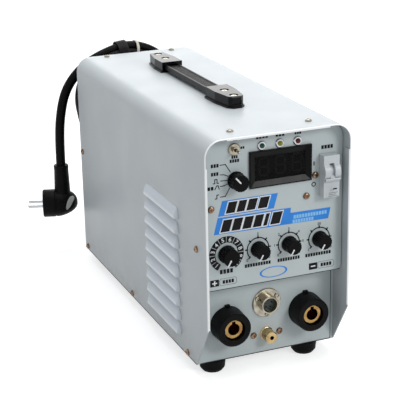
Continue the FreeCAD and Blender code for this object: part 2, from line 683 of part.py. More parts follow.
# ---- base pan, control panel and rear panel ------------------------------------------------------
boardLow = "(footHeight + panThickness + boardLift)"
boardNear = "(%s + boardFront)" % lowerFace
postSpots = [
    (x, y)
    for x in ("boardLeft + postInset", "boardLeft + boardWidth - postInset")
    for y in ("%s + postInset" % boardNear, "%s + boardLength / 2" % boardNear,
              "%s + boardLength - postInset" % boardNear)
]
socketSpots = [("%s * socketSpan" % side, "footHeight + socketHeight") for side in ("-1", "1")]
dotSpots = [("%s * 15" % side, "footHeight + gasHeight") for side in ("-1", "1")]
flangeSpots = [
    ("flangeScrewCircle * cos(%ddeg)" % a,
     "footHeight + connectorHeight + flangeScrewCircle * sin(%ddeg)" % a)
    for a in (30, 150, 270)
]

fanBore = "(fanSide / 2 - fanWall)"
fanHoles = "(fanSide / 2 - fanHoleInset)"
fanSpots = [
    ("%s * %s" % (i, fanHoles), "footHeight + fanHeight + %s * %s" % (j, fanHoles))
    for i in ("-1", "1") for j in ("-1", "1")
]


def basePan():
    back = "(%s - panThickness)" % rearFace
    run = "(%s - %s)" % (back, lowerFace)
    wide = "(2 * %s)" % innerHalf
    sheets = [
        block("panFloor", ("0 - %s" % innerHalf, lowerFace, "footHeight"), (wide, run, "panThickness")),
        block("panFront", ("0 - %s" % innerHalf, lowerFace, "footHeight"),
              (wide, "panThickness", "lowerHeight")),
        block("panLip", ("2 * panThickness - %s" % innerHalf, "%s - panThickness - fitGap" % back,
                         "footHeight"),
              ("%s - 4 * panThickness" % wide, "panThickness", "lipHeight")),
    ]
    for name, x in (("panLeft", "0 - %s" % innerHalf), ("panRight", "%s - panThickness" % innerHalf)):
        sheets.append(block(name, (x, lowerFace, "footHeight"), ("panThickness", run, "flangeHeight")))
    for i, (x, y) in enumerate(postSpots):
        sheets.append(rod("post%d" % i, "postRadius", "boardLift + panThickness", (x, y, "footHeight")))
    through = "panThickness + 2"
    front = "%s + panThickness + 1" % lowerFace
    holes = [rod("socketHole%d" % i, "socketNeck + seatGap", through, (x, front, z), "front")
             for i, (x, z) in enumerate(socketSpots)]
    holes.append(rod("connectorHole", "barrelRadius + seatGap", through,
                     ("0", front, "footHeight + connectorHeight"), "front"))
    holes.append(rod("gasHole", "gasNeck + seatGap", through, ("0", front, "footHeight + gasHeight"),
                     "front"))
    holes += [rod("dotHole%d" % i, "screwHole", through, (x, front, z), "front")
              for i, (x, z) in enumerate(dotSpots)]
    holes += [rod("flangeHole%d" % i, "smallScrewRadius + seatGap", through, (x, front, z), "front")
              for i, (x, z) in enumerate(flangeSpots)]
    holes += [rod("panSide%d" % i, "screwHole", "caseWidth", ("0 - caseWidth / 2", y, z), "right")
              for i, (y, z) in enumerate(sideSpots[1:4])]
    holes += [rod("footHole%d" % i, "screwHole", through, (x, y, "footHeight - 1"))
              for i, (x, y) in enumerate(footSpots)]
    return less("basePan", joined("panBent", *sheets), *holes)


def tray(name, y, depth, low, corner, open_):
    """A folded tray between the cover's sides: its face at y, its rim towards the open side."""
    tall = "(caseHeight - coverThickness - trayGap - %s)" % low
    start = ("0 - %s" % trayHalf, y, "footHeight + %s" % low)
    outside = brick(name + "Outside", start, ("2 * %s" % trayHalf, depth, tall))
    top = value(tall)
    rounded(outside, "coverCorner - coverThickness - trayGap",
            lambda e: along(e, "y") and e.Vertexes[0].Z > top - 1)
    shift = "panThickness" if open_ == "back" else "0 - panThickness"
    inside = brick(name + "Inside", ("panThickness - %s" % trayHalf, "%s + %s" % (y, shift),
                                     "footHeight + %s + panThickness" % low),
                   ("2 * %s - 2 * panThickness" % trayHalf, depth, "%s - 2 * panThickness" % tall))
    ceiling = value("%s - 2 * panThickness" % tall)
    rounded(inside, "coverCorner - coverThickness - trayGap - panThickness",
            lambda e: along(e, "y") and e.Vertexes[0].Z > ceiling - 1)
    if corner:
        rounded(outside, corner, lambda e: along(e, "y") and e.Vertexes[0].Z < 1)
        rounded(inside, "%s - panThickness" % corner, lambda e: along(e, "y") and e.Vertexes[0].Z < 1)
    return less(name + "Tray", outside, inside)


knobSpots = [("currentPlace + %d * dialPitch" % i, "footHeight + knobRowHeight") for i in range(4)]
selectorSpot = ("selectorPlace", "footHeight + selectorHeight")
lampSpots = [("lampMiddle + %d * lampPitch" % i, "footHeight + lampHeight") for i in (-1, 0, 1)]
panelSpots = [("-68", "footHeight + 175"), ("37", "footHeight + 174"), ("47", "footHeight + 195")]
digitRoom = "(displayWidth - 2 * bezelInset)"
digitTall = "(displayHeight - 2 * bezelInset)"


def controlPanel():
    folded = tray("control", controlFace, "lowerPlane - controlPlane", "controlLow", "controlCorner", "back")
    through = "panThickness + 2"
    front = "%s + panThickness + 1" % controlFace
    holes = [rod("knobHole%d" % i, "bushRadius + seatGap", through, (x, front, z), "front")
             for i, (x, z) in enumerate(knobSpots + [selectorSpot])]
    holes += [rod("lampHole%d" % i, "lampBush + seatGap", through, (x, front, z), "front")
              for i, (x, z) in enumerate(lampSpots)]
    holes.append(rod("toggleHole", "toggleBush + seatGap", through,
                     ("togglePlace", front, "footHeight + lampHeight"), "front"))
    holes += [rod("panelHole%d" % i, "screwHole", through, (x, front, z), "front")
              for i, (x, z) in enumerate(panelSpots)]
    holes.append(block("displayHole", ("displayLeft + bezelInset", "%s - 1" % controlFace,
                                       "footHeight + displayLow + bezelInset"),
                                       (digitRoom, through, digitTall)))
    holes.append(block("breakerHole", ("breakerPlace - breakerWidth / 2 - fitGap", "%s - 1" % controlFace,
                                       "footHeight + breakerHeight - noseHeight / 2 - fitGap"),
                       ("breakerWidth + 2 * fitGap", through, "noseHeight + 2 * fitGap")))
    depth = "(lowerPlane - controlPlane)"
    y, z = sideSpots[0]
    holes.append(rod("controlSide", "screwHole", "caseWidth", ("0 - caseWidth / 2", y, z), "right"))
    holes += [rod("controlTop%d" % i, "screwHole", "9", (x, y, "%s - 8" % lidTop))
              for i, (x, y) in enumerate(topSpots[:2])]
    return less("controlPanel", folded, *holes)


def rearPanel():
    folded = tray("rear", "%s - rearFlange" % rearFace, "rearFlange", "rearLow", None, "front")
    half = "(%s - panThickness - fitGap)" % innerHalf
    tongue = block("rearTongue", ("0 - %s" % half, "%s - panThickness" % rearFace,
                                  "footHeight + panThickness + fitGap"),
                   ("2 * %s" % half, "panThickness", "rearLow"))
    through = "panThickness + 2"
    back = "%s + 1" % rearFace
    holes = [rod("fanHole", fanBore, through, ("0", back, "footHeight + fanHeight"), "front")]
    holes += [rod("fanScrewHole%d" % i, "screwHole", through, (x, back, z), "front")
              for i, (x, z) in enumerate(fanSpots)]
    holes.append(rod("glandHole", "glandNeck + seatGap", through, ("coilPlace", back, glandUp), "front"))
    holes.append(rod("inletHole", "gasNeck + seatGap", through,
                     ("inletPlace", back, "footHeight + inletHeight"), "front"))
    y, z = sideSpots[4]
    holes.append(rod("rearSide", "screwHole", "caseWidth", ("0 - caseWidth / 2", y, z), "right"))
    holes += [rod("rearTop%d" % i, "screwHole", "9", (x, y, "%s - 8" % lidTop))
              for i, (x, y) in enumerate(topSpots[2:])]
    return less("rearPanel", joined("rearFolded", folded, tongue), *holes)


# The coil hangs over the gland's sleeve, a little above it.
glandUp = "(footHeight + coilHeight + coilRadius - coilThickness - glandBoot)"
keep(basePan(), "base_pan")
keep(controlPanel(), "control_panel")
keep(rearPanel(), "rear_panel")
keep(copies("panelScrews", screw, [((x, controlFace, z), "front") for x, z in panelSpots]
            + [((x, lowerFace, z), "front") for x, z in dotSpots]), "panel_screws")

# ---- feet ---------------------------------------------------------------------------------------
foot = turned("foot", [
    ("screwHole", "footHeight"), ("screwHole", "footBoreDepth"), ("footBore", "footBoreDepth"),
    ("footBore", "0"), ("footBottom", "0"), ("footWaist", "footChamfer"), ("footTop", "footHeight"),
])
keep(copies("feet", foot, [((x, y, "0"), "up") for x, y in footSpots]), "feet")


# ---- handle -------------------------------------------------------------------------------------
def handleCap(name):
    """An end cap with its nose towards -Y, its mouth on y = 0 and its foot on z = 0."""
    plan = [
        ("0 - capWidth / 2", "0"), ("0 - capWidth / 2", "0 - capLength * 0.45"),
        ("0 - capNose / 2", "4 - capLength"), ("4 - capNose / 2", "0 - capLength"),
        ("capNose / 2 - 4", "0 - capLength"), ("capNose / 2", "4 - capLength"),
        ("capWidth / 2", "0 - capLength * 0.45"), ("capWidth / 2", "0"),
    ]
    seen = plate(name + "Plan", "XY_Plane", plan, "capHeight")
    side = newBody(name + "Side")
    sketch = outline(side, "YZ_Plane", [
        ("0", "0"), ("0", "capHeight"), ("2 - capLength", "capHeight"),
        ("0.4 - capLength", "capHeight - 1.2"), ("0 - capLength", "capHeight - 3"), ("0 - capLength", "0"),
    ])
    pad = side.newObject("PartDesign::Pad", name + "SidePad")
    pad.Profile = sketch
    pad.Midplane = True
    bind(pad, Length="capWidth + 2")
    wider = [
        ("0 - capWidth / 2 - capFlangeReach", "0"),
        ("0 - capWidth / 2 - capFlangeReach", "0 - capLength * 0.45"),
        ("0 - capNose / 2 - capFlangeReach", "4 - capLength"),
        ("4 - capNose / 2", "0 - capLength - capFlangeReach"),
        ("capNose / 2 - 4", "0 - capLength - capFlangeReach"),
        ("capNose / 2 + capFlangeReach", "4 - capLength"),
        ("capWidth / 2 + capFlangeReach", "0 - capLength * 0.45"), ("capWidth / 2 + capFlangeReach", "0"),
    ]
    base = plate(name + "Foot", "XY_Plane", wider, "capFlange")
    whole = joined(name + "Whole", common(name + "Hull", seen, side), base)
    slot = block(name + "Slot", ("0 - strapWidth / 2 - strapGap", "0 - strapInside - strapGap",
                                 "strapLift - strapGap"),
                 ("strapWidth + 2 * strapGap", "strapInside + strapGap + 1", "strapHeight + 2 * strapGap"))
    holes = [block(name + "Hollow", ("0 - noseHollowWidth / 2", "0 - capLength - 1", "capFlange + 1.4"),
                   ("noseHollowWidth", "noseHollow + 1", "noseHollowHeight"))]
    for i, back in enumerate(("capScrewNear", "capScrewFar")):
        holes.append(rod("%sHole%d" % (name, i), "screwHole", "capHeight + 2", ("0", "0 - %s" % back, "-1")))
        holes.append(rod("%sBore%d" % (name, i), "capBore", "capHeight",
                         ("0", "0 - %s" % back, "capHeight - capBoreDepth")))
    return less(name, whole, slot, *holes)


def strap():
    """A flat ribbed strap whose ends lie in the two caps."""
    reach = value("strapInside")
    run = value("handleLength - 2 * capLength") + 2 * reach
    low, tall, rib, pitch = value("strapLift"), value("strapHeight"), value("strapRib"), value("strapPitch")
    points = [Vector(0, 0, low), Vector(0, 0, low + tall - rib)]
    first, last = reach + pitch / 2, run - reach - pitch
    count = int((last - first) / pitch) + 1
    for i in range(count):
        near = first + i * pitch
        for step, up in ((0, 0), (0.18, rib), (0.52, rib), (0.7, 0)):
            points.append(Vector(0, near + step * pitch, low + tall - rib + up))
    points += [Vector(0, run, low + tall - rib), Vector(0, run, low)]
    face = Part.Face(Part.makePolygon(points + points[:1]))
    body = face.extrude(Vector(value("strapWidth"), 0, 0))
    bead, top = value("strapBead"), low + tall + value("strapBeadRise")
    length = run - 2 * reach - 2 * value("strapGap")
    for left in (0, value("strapWidth") - bead):
        edge = Part.makeBox(bead, length, top - low, Vector(left, reach + value("strapGap"), low))
        upper = [e for e in edge.Edges if e.Length > length - 1 and e.Vertexes[0].Z > top - 1]
        body = body.fuse(edge.makeFillet(bead * 0.35, upper))
    hole = value("screwHole")
    for at in (reach - value("capScrewNear"), run - reach + value("capScrewNear")):
        body = body.cut(Part.makeCylinder(hole, 20, Vector(value("strapWidth / 2"), at, 0)))
    return body


frontCap = keep(place(handleCap("frontCap"), ("0", frontMouth, lidTop)), "handle_cap_front")
rearCap = handleCap("rearCap")
place(rearCap, ("0", rearMouth, lidTop))
rearCap.Placement = Placement(rearCap.Placement.Base, Rotation(Vector(0, 0, 1), 180))
keep(rearCap, "handle_cap_rear")
keep(place(solid("strap", strap()), ("0 - strapWidth / 2", "%s - strapInside" % frontMouth, lidTop)),
     "handle_strap")
capScrew = panHead("capScrew", "capHeadRadius", "capHeadHeight", "screwRadius",
                   "(capHeight - capBoreDepth + coverThickness + 3)", "recessWidth")
keep(copies("handleScrews", capScrew, [((x, y, "%s + capHeight - capBoreDepth" % lidTop), "up")
                                       for x, y in handleSpots]), "handle_screws")


# ---- display ------------------------------------------------------------------------------------
def display():
    left, low = "displayLeft", "(footHeight + displayLow)"
    face = controlFace
    rim = block("bezelRim", (left, "%s - bezelProud" % face, low),
                ("displayWidth", "bezelProud", "displayHeight"))
    sleeve = block("bezelSleeve", ("%s + bezelInset + fitGap" % left, face, "%s + bezelInset + fitGap" % low),
                   ("%s - 2 * fitGap" % digitRoom, "12", "%s - 2 * fitGap" % digitTall))
    funnel = doc.addObject("Part::Wedge", "bezelFunnel")
    inner = "(bezelEdge + bezelSlope)"
    bind(funnel, Xmin="bezelEdge", Xmax="displayWidth - bezelEdge", Zmin="bezelEdge",
         Zmax="displayHeight - bezelEdge",
         X2min=inner, X2max="displayWidth - %s" % inner, Z2min=inner, Z2max="displayHeight - %s" % inner,
         Ymin="0", Ymax="bezelProud")
    place(funnel, (left, "%s - bezelProud" % face, low))
    hollow = block("bezelHollow", ("%s + %s" % (left, inner), "%s - bezelProud" % face,
                                   "%s + %s" % (low, inner)),
                   ("displayWidth - 2 * %s" % inner, "bezelProud + 20", "displayHeight - 2 * %s" % inner))
    wide = "(displayWidth - 2 * %s - 2 * fitGap)" % inner
    tall = "(displayHeight - 2 * %s - 2 * fitGap)" % inner
    keep(less("bezel", joined("bezelWhole", rim, sleeve), funnel, hollow), "display_bezel")
    corner = ("%s + %s + fitGap" % (left, inner), face, "%s + %s + fitGap" % (low, inner))
    keep(block("displayWindow", corner, (wide, "windowThickness", tall)), "display_window")
    board = block("digitBoard", ("%s + bezelInset + 1" % left, "%s + 12 + fitGap" % face,
                                 "%s + bezelInset + 1" % low),
                  ("%s - 2" % digitRoom, "boardThickness", "%s - 2" % digitTall))
    first = "displayLeft + displayWidth / 2 + digitShift - digitWidth / 2 - (digitCount - 1) / 2 * digitPitch"
    blocks = [block("digit%d" % i, ("%s + %d * digitPitch" % (first, i),
                                    "%s + 12 + fitGap - digitDepth" % face,
                                    "%s + (displayHeight - digitHeight) / 2" % low),
                    ("digitWidth", "digitDepth + 0.5", "digitHeight"))
              for i in range(int(value("digitCount")))]
    keep(joined("digits", board, *blocks), "display_digits")


display()

# ---- lamps and toggle switch ---------------------------------------------------------------------
lampRing = turned("lampRing", [
    ("lensRadius + seatGap", "-7"), ("lampBush", "-7"), ("lampBush", "0"), ("lampRing", "0"),
    ("lampRing", "lampRingHeight * 0.5"), ("lampRing * 0.85", "lampRingHeight"),
    ("lensRadius + seatGap", "lampRingHeight"),
])
keep(copies("lampRings", lampRing, [((x, controlFace, z), "front") for x, z in lampSpots]), "lamp_rings")
lens = turned("lens", [
    ("0", "-6"), ("lensRadius", "-6"), ("lensRadius", "lensProud - lensRadius * 0.9"),
    ("lensRadius * 0.87", "lensProud - lensRadius * 0.45"), ("lensRadius * 0.5",
                                                             "lensProud - lensRadius * 0.1"),
    ("0", "lensProud"),
])
keep(copies("lenses", lens, [((x, controlFace, z), "front") for x, z in lampSpots]), "lamp_lenses")
toggleSpot = ("togglePlace", controlFace, "footHeight + lampHeight")
toggleBox = block("toggleBox", ("togglePlace - 4", "%s + panThickness" % controlFace,
                                "footHeight + lampHeight - 6.5"),
                  ("8", "10", "13"))
bush = rod("toggleBushRod", "toggleBush", "toggleBushProud + panThickness + 1",
           ("togglePlace", "%s + panThickness + 1" % controlFace, "footHeight + lampHeight"), "front")
bore = rod("toggleBoreRod", "toggleBore", "toggleBushProud + 1",
           ("togglePlace", "%s + 0.5" % controlFace, "footHeight + lampHeight"), "front")
keep(less("toggleSwitch", joined("toggleWhole", toggleBox, bush), bore), "toggle_switch")
toggleNut = turned("toggleNut", [
    ("toggleBush + seatGap", "0"), ("toggleNutRadius", "0"), ("toggleNutRadius", "toggleNutHeight * 0.7"),
    ("toggleNutRadius - 0.7", "toggleNutHeight"), ("toggleBush + seatGap", "toggleNutHeight"),
], toggleSpot, "front")
keep(turned("toggleLever", [
    ("0", "togglePivot - toggleBall"), ("toggleBall * 0.7", "togglePivot - toggleBall * 0.7"),
    ("toggleBall", "togglePivot"), ("toggleBall * 0.7", "togglePivot + toggleBall * 0.7"),
    ("toggleStem", "togglePivot + toggleBall"), ("toggleTip", "toggleProud - toggleTip"),
    ("toggleTip * 0.7", "toggleProud - toggleTip * 0.3"), ("0", "toggleProud"),
], toggleSpot, "front"), "toggle_lever")


# ---- rotary controls -----------------------------------------------------------------------------
def control(name, radius, depth):
    """The fixed part of a rotary control: its case behind the panel and its bush through it."""
    return turned(name, [
        ("0", "0 - panThickness - %s" % depth), (radius, "0 - panThickness - %s" % depth),
        (radius, "0 - panThickness"),
        ("bushRadius", "0 - panThickness"), ("bushRadius", "bushProud"),
        ("shaftRadius + runningGap", "bushProud"),
        ("shaftRadius + runningGap", "0 - panThickness - potBore"), ("0", "0 - panThickness - potBore"),
    ])


def shaft(name, spot):
    x, z = spot
    return turned(name, [
        ("0", "0.1 - panThickness - potBore"), ("shaftRadius", "0.1 - panThickness - potBore"),
        ("shaftRadius", "knobHeight - 3"), ("shaftRadius - 0.6", "knobHeight - 2.4"),
        ("0", "knobHeight - 2.4"),
    ], (x, controlFace, z), "front")


def knob(name, radius, spot):
    """A fluted knob with a skirt, pushed on its shaft over the nut."""
    x, z = spot
    grip = "(%s - skirtStep)" % radius
    body = turned(name, [
        ("nutRoom", "knobLift"), (radius, "knobLift"), (radius, "skirtHeight - 0.5"),
        ("%s - 0.4" % radius, "skirtHeight"),
        (grip, "skirtHeight + 0.4"), (grip, "knobHeight - knobChamfer"),
        ("%s - knobChamfer" % grip, "knobHeight"),
        ("0", "knobHeight"), ("0", "knobHeight - 1.8"), ("shaftRadius + seatGap", "knobHeight - 1.8"),
        ("shaftRadius + seatGap", "nutRoomHeight"), ("nutRoom", "nutRoomHeight"),
    ], (x, controlFace, z), "front")
    doc.recompute()
    flute = body.newObject("PartDesign::Pocket", name + "Flute")
    flute.Profile = circle(body, "XY_Plane", "%s + fluteRadius * 0.35" % grip, "0", "fluteRadius",
                           "skirtHeight + 0.6")
    flute.Reversed = True
    bind(flute, Length="knobHeight")
    doc.recompute()
    pattern = body.newObject("PartDesign::PolarPattern", name + "Flutes")
    pattern.Originals = [flute]
    turning = [item for item in body.Origin.OriginFeatures if item.Role == "Z_Axis"][0]
    pattern.Axis = (turning, [""])
    bind(pattern, Occurrences="fluteCount")
    pattern.Angle = 360
    body.Tip = pattern
    return body


pot = control("pot", "potRadius", "potDepth")
potNut = nut("potNut", "controlNut", "bushRadius + seatGap", "controlNutHeight", ("0", "0", "0"))
selectorSwitch = control("selectorSwitch", "selectorRadius", "selectorDepth")
keep(copies("pots", pot, [((x, controlFace, z), "front") for x, z in knobSpots]), "potentiometers")
keep(place(selectorSwitch, (selectorSpot[0], controlFace, selectorSpot[1]), "front"), "selector_switch")
hexNuts = copies("hexNuts", potNut, [((x, controlFace, z), "front") for x, z in knobSpots + [selectorSpot]])
keep(together("controlNuts", hexNuts, toggleNut), "control_nuts")
for name, radius, spot in (
    ("current", "currentKnobRadius", knobSpots[0]),
    ("crater", "dialKnobRadius", knobSpots[1]),
    ("gas_time", "dialKnobRadius", knobSpots[2]),
    ("pulse", "dialKnobRadius", knobSpots[3]),
    ("selector", "selectorKnobRadius", selectorSpot),
):
    word = name.replace("_t", "T")
    keep(knob(word + "Knob", radius, spot), name + "_knob")
    keep(shaft(word + "Shaft", spot), name + "_shaft")


# ---- breaker -------------------------------------------------------------------------------------
def breaker():
    middle = "(footHeight + breakerHeight)"
    left = "breakerPlace - breakerWidth / 2"
    axis = "(%s - pivotProud)" % controlFace
    height = "(%s + pivotRise)" % middle
    back = block("breakerBack", (left, "%s + panThickness + fitGap" % controlFace,
                                 "%s - breakerBackHeight / 2" % middle),
                 ("breakerWidth", "breakerBackDepth", "breakerBackHeight"))
    nose = brick("breakerNose", (left, "%s - noseProud" % controlFace, "%s - noseHeight / 2" % middle),
                 ("breakerWidth", "noseProud + 10", "noseHeight"))
    rounded(nose, "0.8", lambda e: along(e, "x") and e.Vertexes[0].Y < 1)
    cradle = rod("breakerCradle", "cradleRadius", "breakerWidth", (left, axis, height), "right")
    room = rod("breakerSlotRoom", "breakerRoom", "breakerSlot",
               ("breakerPlace - breakerSlot / 2", axis, height), "right")
    pin = rod("breakerPinRoom", "breakerPin + runningGap", "breakerWidth - 2",
              ("breakerPlace - breakerWidth / 2 + 1", axis, height), "right")
    keep(less("breakerBody", joined("breakerWhole", back, nose, cradle), room, pin), "breaker_body")
    width = "(breakerSlot - 2 * breakerGap)"
    wheel = rod("toggleWheel", "breakerDrum", width, ("0 - %s / 2" % width, "0", "0"), "right")
    spindle = rod("toggleSpindle", "breakerPin", "breakerWidth - 2.6", ("1.3 - breakerWidth / 2", "0", "0"),
                  "right")
    lever = block("toggleLink", ("0 - %s / 2" % width, "0 - breakerBarRoot - 0.5", "0 - breakerLever / 2"),
                  (width, "breakerBarRoot + 0.5", "breakerLever"))
    bar = brick("toggleBar", ("0 - breakerBarWidth / 2", "0 - breakerBarTip", "0 - breakerLever / 2"),
                ("breakerBarWidth", "breakerBarTip - breakerBarRoot", "breakerLever"))
    rounded(bar, "0.6", lambda e: along(e, "x"))
    handle = joined("breakerToggle", wheel, spindle, lever, bar)
    place(handle, ("breakerPlace", axis, height))
    handle.Placement = Placement(handle.Placement.Base, Rotation(Vector(1, 0, 0), value("breakerTilt")))
    handle.setExpression(".Placement.Rotation.Angle", formula("breakerTilt"))
    keep(handle, "breaker_toggle")


breaker()


# ---- output sockets, remote socket and gas outlet -------------------------------------------------
def sockets():
    front = "socketProud"
    step = "(socketProud - insertRecess - insertNose)"
    insulator = turned("insulator", [
        ("insertRoom", front), ("socketRadius - socketTaper - 1.2", front),
        ("socketRadius - socketTaper", "%s - 1.2" % front), ("socketRadius", "0"), ("socketNeck", "0"),
        ("socketNeck", "0 - socketNeckDepth"), ("tailRadius + seatGap", "0 - socketNeckDepth"),
        ("tailRadius + seatGap", "socketWeb - socketNeckDepth"),
        ("insertRadius + seatGap", "socketWeb - socketNeckDepth"), ("insertRadius + seatGap", step),
        ("insertRoom", step),
    ])
    lug = block("socketLugBlock", ("0 - socketLugWidth / 2", "socketRadius - 1.5", "0"),
                ("socketLugWidth", "socketLug + 1.5", "socketLugDepth"))
    lugged = joined("insulatorLugged", insulator, lug)
    floor = "(socketWeb - socketNeckDepth + insertFloor)"
    insert = turned("insert", [
        ("0", "0 - socketNeckDepth - tailLength"), ("tailRadius", "0 - socketNeckDepth - tailLength"),
        ("tailRadius", "socketWeb - socketNeckDepth"), ("insertRadius", "socketWeb - socketNeckDepth"),
        ("insertRadius", "%s + insertNose / 2" % step), ("0", "%s + insertNose / 2" % step),
    ])
    above = "(%s + seatGap)" % step
    flats = plate("insertFlats", "XY_Plane", hexagon("insertHexagon", 30), "insertNose - seatGap",
                  ("0", "0", above))
    corners = turned("insertCorners", [
        ("0", above), ("insertCorner", above), ("insertCorner", "%s + insertNose - 0.8" % step),
        ("insertCorner - 0.8", "%s + insertNose" % step), ("0", "%s + insertNose" % step),
    ])
    bore = rod("insertBoreRod", "insertBore", "socketProud - %s" % floor, ("0", "0", floor))
    key = block("insertKey", ("0 - keyWidth / 2", "0", floor),
                ("keyWidth", "insertBore + keyDepth", "socketProud - %s" % floor))
    whole = joined("insertWhole", insert, common("insertNoseRound", flats, corners))
    keyed = less("insertKeyed", whole, bore, key)
    ringNut = nut("ringNut", "ringNut", "socketNeck + seatGap", "ringNutHeight", ("0", "0", "0"))
    tailNut = nut("tailNut", "tailNut", "tailRadius + seatGap", "tailNutHeight", ("0", "0", "0"))
    places = [((x, lowerFace, z), "front") for x, z in socketSpots]
    keep(copies("insulators", lugged, places), "socket_insulators")
    keep(copies("inserts", keyed, places), "socket_inserts")
    rings = copies("ringNuts", ringNut,
                   [((x, "%s + panThickness + ringNutHeight" % lowerFace, z), "front")
                    for x, z in socketSpots])
    tails = copies("tailNuts", tailNut,
                   [((x, "%s + socketNeckDepth + tailNutHeight" % lowerFace, z), "front")
                    for x, z in socketSpots])
    keep(together("socketNuts", rings, tails), "socket_nuts")


def remoteSocket():
    spot = ("0", lowerFace, "footHeight + connectorHeight")
    shell = turned("connectorShell", [
        ("barrelBore", "0 - barrelBack"), ("barrelRadius", "0 - barrelBack"), ("barrelRadius", "0"),
        ("flangeRadius", "0"), ("flangeRadius", "flangeThickness - 0.4"),
        ("flangeRadius - 0.4", "flangeThickness"), ("barrelRadius", "flangeThickness"),
        ("barrelRadius", "barrelProud - 0.5"), ("barrelRadius - 0.5", "barrelProud"),
        ("barrelBore", "barrelProud"),
    ])
    holes = [rod("shellHole%d" % i, "smallScrewRadius + seatGap", "flangeThickness + 2",
                 ("flangeScrewCircle * cos(%ddeg)" % a, "flangeScrewCircle * sin(%ddeg)" % a, "-1"))
             for i, a in enumerate((30, 150, 270))]
    keep(place(less("connectorFlanged", shell, *holes), spot, "front"), "connector_shell")
    core = rod("connectorCore", "barrelBore - seatGap", "barrelProud - insertSet + barrelBack",
               ("0", "0", "0 - barrelBack"))
    contacts = [rod("contact%d" % i, "pinRadius", "8",
                    ("pinCircle * cos(%d * 360deg / pinCount + 90deg)" % i,
                     "pinCircle * sin(%d * 360deg / pinCount + 90deg)" % i, "barrelProud - insertSet - 7"))
                for i in range(int(value("pinCount")))]
    keep(place(less("connectorInsert", core, *contacts), spot, "front"), "connector_insert")
    keep(copies("flangeScrews", smallScrew, [((x, "%s - flangeThickness" % lowerFace, z), "front")
                                             for x, z in flangeSpots]), "flange_screws")


def gasOutlet():
    return turned("gasOutlet", [
        ("gasBore", "gasProud"), ("gasRadius - 0.8", "gasProud"), ("gasRadius", "gasProud - 0.8"),
        ("gasRadius", "gasFlange"), ("gasFlangeRadius", "gasFlange - 0.5"), ("gasFlangeRadius", "0"),
        ("gasNeck", "0"), ("gasNeck", "0 - gasNeckDepth"), ("hoseTail", "0 - gasNeckDepth"),
        ("hoseTail", "0 - gasNeckDepth - hoseTailLength"),
        ("hoseTail - 1.2", "0 - gasNeckDepth - hoseTailLength"),
        ("hoseTail - 1.2", "0 - gasNeckDepth + 1"), ("gasBore", "0 - gasNeckDepth + 2"),
    ], ("0", lowerFace, "footHeight + gasHeight"), "front")


sockets()
remoteSocket()
keep(gasOutlet(), "gas_outlet")


# ---- gas inlet, valve and hose --------------------------------------------------------------------
def bentTube(points, radius, hole=0):
    """A round tube along straight runs that tangent arcs join, and the arcs' radii."""
    edges, radii, length = [], [], 0
    start = points[0]
    for before, corner, after in zip(points, points[1:], points[2:]):
        inward = (corner - before).normalize()
        outward = (after - corner).normalize()
        half = inward.getAngle(outward) / 2
        reach = 0.45 * min((corner - before).Length, (after - corner).Length)
        bend = reach / math.tan(half)
        radii.append(bend)
        near = corner - inward * reach
        far = corner + outward * reach
        towards = (outward - inward).normalize()
        middle = corner + towards * (bend / math.cos(half) - bend)
        edges.append(Part.LineSegment(start, near).toShape())
        edges.append(Part.Arc(near, middle, far).toShape())
        length += (near - start).Length + 2 * half * bend
        start = far
    edges.append(Part.LineSegment(start, points[-1]).toShape())
    length += (points[-1] - start).Length
    path = Part.Wire(edges)
    ring = Part.Wire(Part.makeCircle(radius, points[0], points[1] - points[0]))
    tube = path.makePipeShell([ring], True, True)
    section = math.pi * radius ** 2
    if hole:
        inner = Part.Wire(Part.makeCircle(hole, points[0], points[1] - points[0]))
        tube = tube.cut(path.makePipeShell([inner], True, True))
        section -= math.pi * hole ** 2
    print("tube: radii %s, length %.1f, volume %.0f against %.0f"
          % (" ".join("%.0f" % r for r in radii), length, tube.Volume, section * length))
    return tube


def gasParts():
    inner = "(%s - panThickness)" % rearFace
    up = "(footHeight + inletHeight)"
    nose = plate("inletHexagon", "XY_Plane", hexagon("inletNut"), "inletNutHeight",
                 ("inletPlace", rearFace, up), "back")
    neck = rod("inletNeck", "gasNeck", "panThickness + 8", ("inletPlace", "%s - 8" % inner, up), "back")
    tail = rod("inletTail", "inletRadius", "rearReach + rearPlane - inletNutHeight",
               ("inletPlace", "%s + inletNutHeight" % rearFace, up), "back")
    drill = rod("inletBore", "gasBore", "60", ("inletPlace", "%s - 20" % inner, up), "back")
    keep(less("gasInlet", joined("inletWhole", nose, neck, tail), drill), "gas_inlet")
    front = "(%s - 8 - valveDepth)" % inner
    body = block("valveBlock", ("inletPlace - valveWidth / 2", front, "%s - valveTall / 2" % up),
                 ("valveWidth", "valveDepth + 8 - 0.5", "valveTall"))
    socket = rod("valveSocket", "gasNeck + seatGap", "9", ("inletPlace", "%s - 8" % inner, up), "back")
    coil = block("valveCoil", ("inletPlace + valveWidth / 2 - 0.5", "%s + 4" % front,
                               "%s - valveTall / 2 + 1" % up),
                 ("valveCoil", "valveDepth - 8", "valveTall - 2"))
    spigot = rod("valveSpigot", "hoseTail", "hoseTailLength + 1", ("inletPlace", "%s + 1" % front, up),
                 "front")
    port = rod("valvePort", "hoseTail - 1.2", "60", ("inletPlace", "%s + 20" % front, up), "front")
    keep(less("gasValve", joined("valveWhole", body, coil, spigot), socket, port), "gas_valve")
    start = Vector(value("inletPlace"), value("%s - fitGap" % front), value(up))
    end = Vector(0, value("%s + gasNeckDepth + fitGap" % lowerFace), value("footHeight + gasHeight"))
    near, far = end.y + 48, end.y + 110
    points = [start, Vector(start.x, far, start.z), Vector(0, near, end.z), end]
    hose = bentTube(points, value("hoseRadius"), value("hoseRadius - hoseWall"))
    keep(solid("gasHose", hose), "gas_hose")


gasParts()


